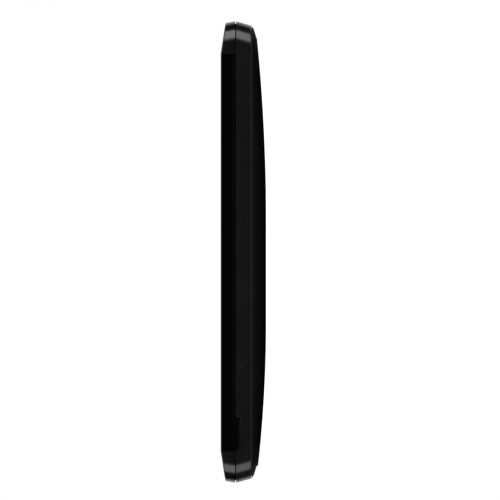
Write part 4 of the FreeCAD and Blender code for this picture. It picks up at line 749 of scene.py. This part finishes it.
def handset_outline(wide, tilt):
    """Points of a handset seen from the side, in millimetres: a bent grip with an ear and a mouth piece."""
    outer, inner, ear_out, ear_in, ear_lift = [wide * share for share in (0.62, 0.42, 0.66, 0.34, 0.02)]
    points = arc(outer, 150, 30) + [(ear_out, ear_lift), (ear_in, -ear_lift)]
    points += arc(inner, 40, 140) + [(-ear_in, -ear_lift), (-ear_out, ear_lift)]
    middle = sum(y for x, y in points) / len(points)
    return turned([(x, y - middle) for x, y in points], tilt)


def add_sign(name, outline, place, material, body):
    """A flat outline in millimetres as a thin print."""
    curve = bpy.data.curves.new(name, "CURVE")
    curve.dimensions = "2D"
    curve.fill_mode = "BOTH"
    curve.extrude = INK / 2 * MM
    line = curve.splines.new("POLY")
    line.points.add(len(outline) - 1)
    for point, (x, y) in zip(line.points, outline):
        point.co = (x * MM, y * MM, 0, 1)
    line.use_cyclic_u = True
    thing = bpy.data.objects.new(name, curve)
    bpy.context.scene.collection.objects.link(thing)
    select_only(thing)
    bpy.ops.object.convert(target="MESH")
    move_mesh(thing, *place)
    thing.data.materials.append(material)
    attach(thing, body)


call_outline, hang_up_outline = [handset_outline(HANDSET_WIDE, tilt) for tilt in (HANDSET_TILT, 0)]
add_sign("call_sign", call_outline, top_of("send_key"), legend_green, "send_key")
add_sign("hang_up_sign", hang_up_outline, top_of("end_key"), legend_red, "end_key")
bar = [(-BAR_HALF_WIDE, -BAR_HALF_TALL), (BAR_HALF_WIDE, -BAR_HALF_TALL),
       (BAR_HALF_WIDE, BAR_HALF_TALL), (-BAR_HALF_WIDE, BAR_HALF_TALL)]
for node in ("left_soft_key", "right_soft_key"):
    add_sign(f"{node}_bar", bar, top_of(node), legend_white, node)
x, y, z = top_of("clear_key")
add_legend("clear_sign", "C", C_HEIGHT, (x, y - C_DROP, z), legend_white, "clear_key")
x, y, z = top_of("nav_ring")
arrow = [(0.0, 0.55), (-0.6, -0.35), (0.6, -0.35)]
for degrees, label in ((0, "up"), (90, "left"), (180, "down"), (270, "right")):
    across, along = turned([(0, ARROW_REACH)], degrees)[0]
    spot = (x + across, y + along, z)
    add_sign(f"ring_{label}_arrow", turned(arrow, degrees), spot, inside_black, "nav_ring")
print("signs done, ring top at", round(z, 2))

# %% [markdown]
# ## Lenses
# Behind the clear window of the back camera stands a small dome with a violet coating, and a smaller
# one looks out of the front. A dome could be a curve turned around its axis. Both are spheres pressed
# flat in edit mode, because only the part that looks out of the barrel shows.

# %% Lens domes
FRONT_LENS_SINK, BACK_LENS_SINK = 0.1, 0.35
lens_coat = surface("coated_lens", (0.012, 0.008, 0.03), 0.04, drift=0.1, level=0.9, coat=1.0, spread=0.01)


def add_dome(name, place, radius, rise, body):
    """A flattened sphere whose middle lies at a place, in millimetres."""
    bpy.ops.mesh.primitive_uv_sphere_add(segments=40, ring_count=20, radius=1)
    thing = bpy.context.object
    thing.name = name
    resize_mesh(thing, radius, radius, rise)
    move_mesh(thing, *place)
    bpy.ops.object.shade_smooth()
    thing.data.materials.append(lens_coat)
    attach(thing, body)
    print(f"{name}: top and bottom at {place[2] + rise:.2f} and {place[2] - rise:.2f} mm")


front_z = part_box("front_camera")[1][2] / MM - FRONT_LENS_SINK
add_dome("front_lens", (*middle_of("front_camera"), front_z), radius=0.62, rise=0.14, body="display")
back_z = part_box("rear_camera_module")[0][2] / MM + BACK_LENS_SINK
add_dome("back_lens", (*middle_of("rear_camera_module"), back_z), radius=1.7, rise=0.3, body="base")

# %% [markdown]
# ## A printed ring behind the back window
# A ring printed black on the window's inner side hides the works around the lens. It is a filled
# circle with an inset whose middle is deleted, like the rings in the seams, and leans by the slope
# that the back has there.

# %% Printed ring
COVER_SLOPE = math.radians(4.5)
WINDOW_HALF = 0.33
MASK_RADIUS, MASK_WALL, MASK_THICK = 3.25, 1.45, 0.03
low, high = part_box("camera_window")
window_back = (low[2] + high[2]) / 2 / MM + WINDOW_HALF
bpy.ops.mesh.primitive_circle_add(vertices=64, radius=MASK_RADIUS * MM, fill_type="NGON")
mask = bpy.context.object
mask.name = "printed_window_ring"
raise_rim(mask, MASK_WALL, MASK_THICK)
mask.data.transform(Matrix.Rotation(COVER_SLOPE, 4, "X"))
move_mesh(mask, *middle_of("camera_window"), window_back)
mask.data.materials.append(inside_black)
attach(mask, "cover")
print("ring behind the window at", round(window_back, 2), "mm")

# %% [markdown]
# ## Cloth and foam before the loudspeaker
# Behind the three slots a cloth on a foam ring keeps dust out of the loudspeaker. A picture of a weave
# would need a texture. Here the cloth is a fine grid whose crossings are raised and lowered in turn,
# made thick by a Solidify modifier, and the foam is one more ring.

# %% Cloth and foam
CLOTH_LOW, CLOTH_HIGH = 2.93, 3.0
THREAD, THREAD_THICK, WEAVE = 0.2, 0.03, 0.02
CLOTH_WIDE, CLOTH_LONG = 10.0, 6.0
cloth_grey = surface("loudspeaker_cloth", (0.03, 0.03, 0.031), 0.8, grain=0.3, grain_size=0.05, level=0.2)
bpy.ops.mesh.primitive_grid_add(x_subdivisions=int(CLOTH_WIDE / THREAD),
                                y_subdivisions=int(CLOTH_LONG / THREAD), size=1)
cloth = bpy.context.object
cloth.name = "loudspeaker_cloth"
resize_mesh(cloth, CLOTH_WIDE, CLOTH_LONG, 1)
for corner in cloth.data.vertices:
    column = round((corner.co.x / MM + CLOTH_WIDE / 2) / THREAD)
    row = round((corner.co.y / MM + CLOTH_LONG / 2) / THREAD)
    corner.co.z = (WEAVE if (column + row) % 2 else -WEAVE) * MM
thick = cloth.modifiers.new("thread", "SOLIDIFY")
thick.thickness = THREAD_THICK * MM
apply_modifiers(cloth)
x, y = middle_of("loudspeaker")
move_mesh(cloth, x, y, (CLOTH_LOW + CLOTH_HIGH) / 2)
cloth.data.materials.append(cloth_grey)
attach(cloth, "base")
foam = add_ring("loudspeaker_foam", half_wide=5.4, low_end=-3.4, high_end=3.4, corner=0.6, wall=0.8,
                low=CLOTH_HIGH, high=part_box("loudspeaker")[0][2] / MM, material=seam_shade_and_foam, body="base")
move_mesh(foam, x, y, 0)
print("cloth", len(cloth.data.polygons), "faces")

# %% [markdown]
# ## Flags over the glossy front
# Polished black mirrors whatever stands low beside it, so from some sides the whole front would show
# nothing but a lamp. A photographer holds a flag over the front. Here light linking does it: the two
# side lamps skip the front faces and the keypad, and the overhead lamp and the white air still light
# them.

# %% Pieces that the side lamps skip
FRONT_PIECES = ("front_bezel", "display_window", "keypad_deck", "key_", "left_soft", "right_soft",
                "send_key", "end_key", "clear_key", "select_key", "nav_ring")
shaded = bpy.data.collections.new("under_the_flag")
for thing in bpy.data.objects:
    if thing.type == "MESH" and thing.name.startswith(FRONT_PIECES):
        shaded.objects.link(thing)
for entry in shaded.collection_objects:
    entry.light_linking.link_state = "EXCLUDE"
for lamp in side_lamps:
    lamp.light_linking.receiver_collection = shaded

# %% Finish
low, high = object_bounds()
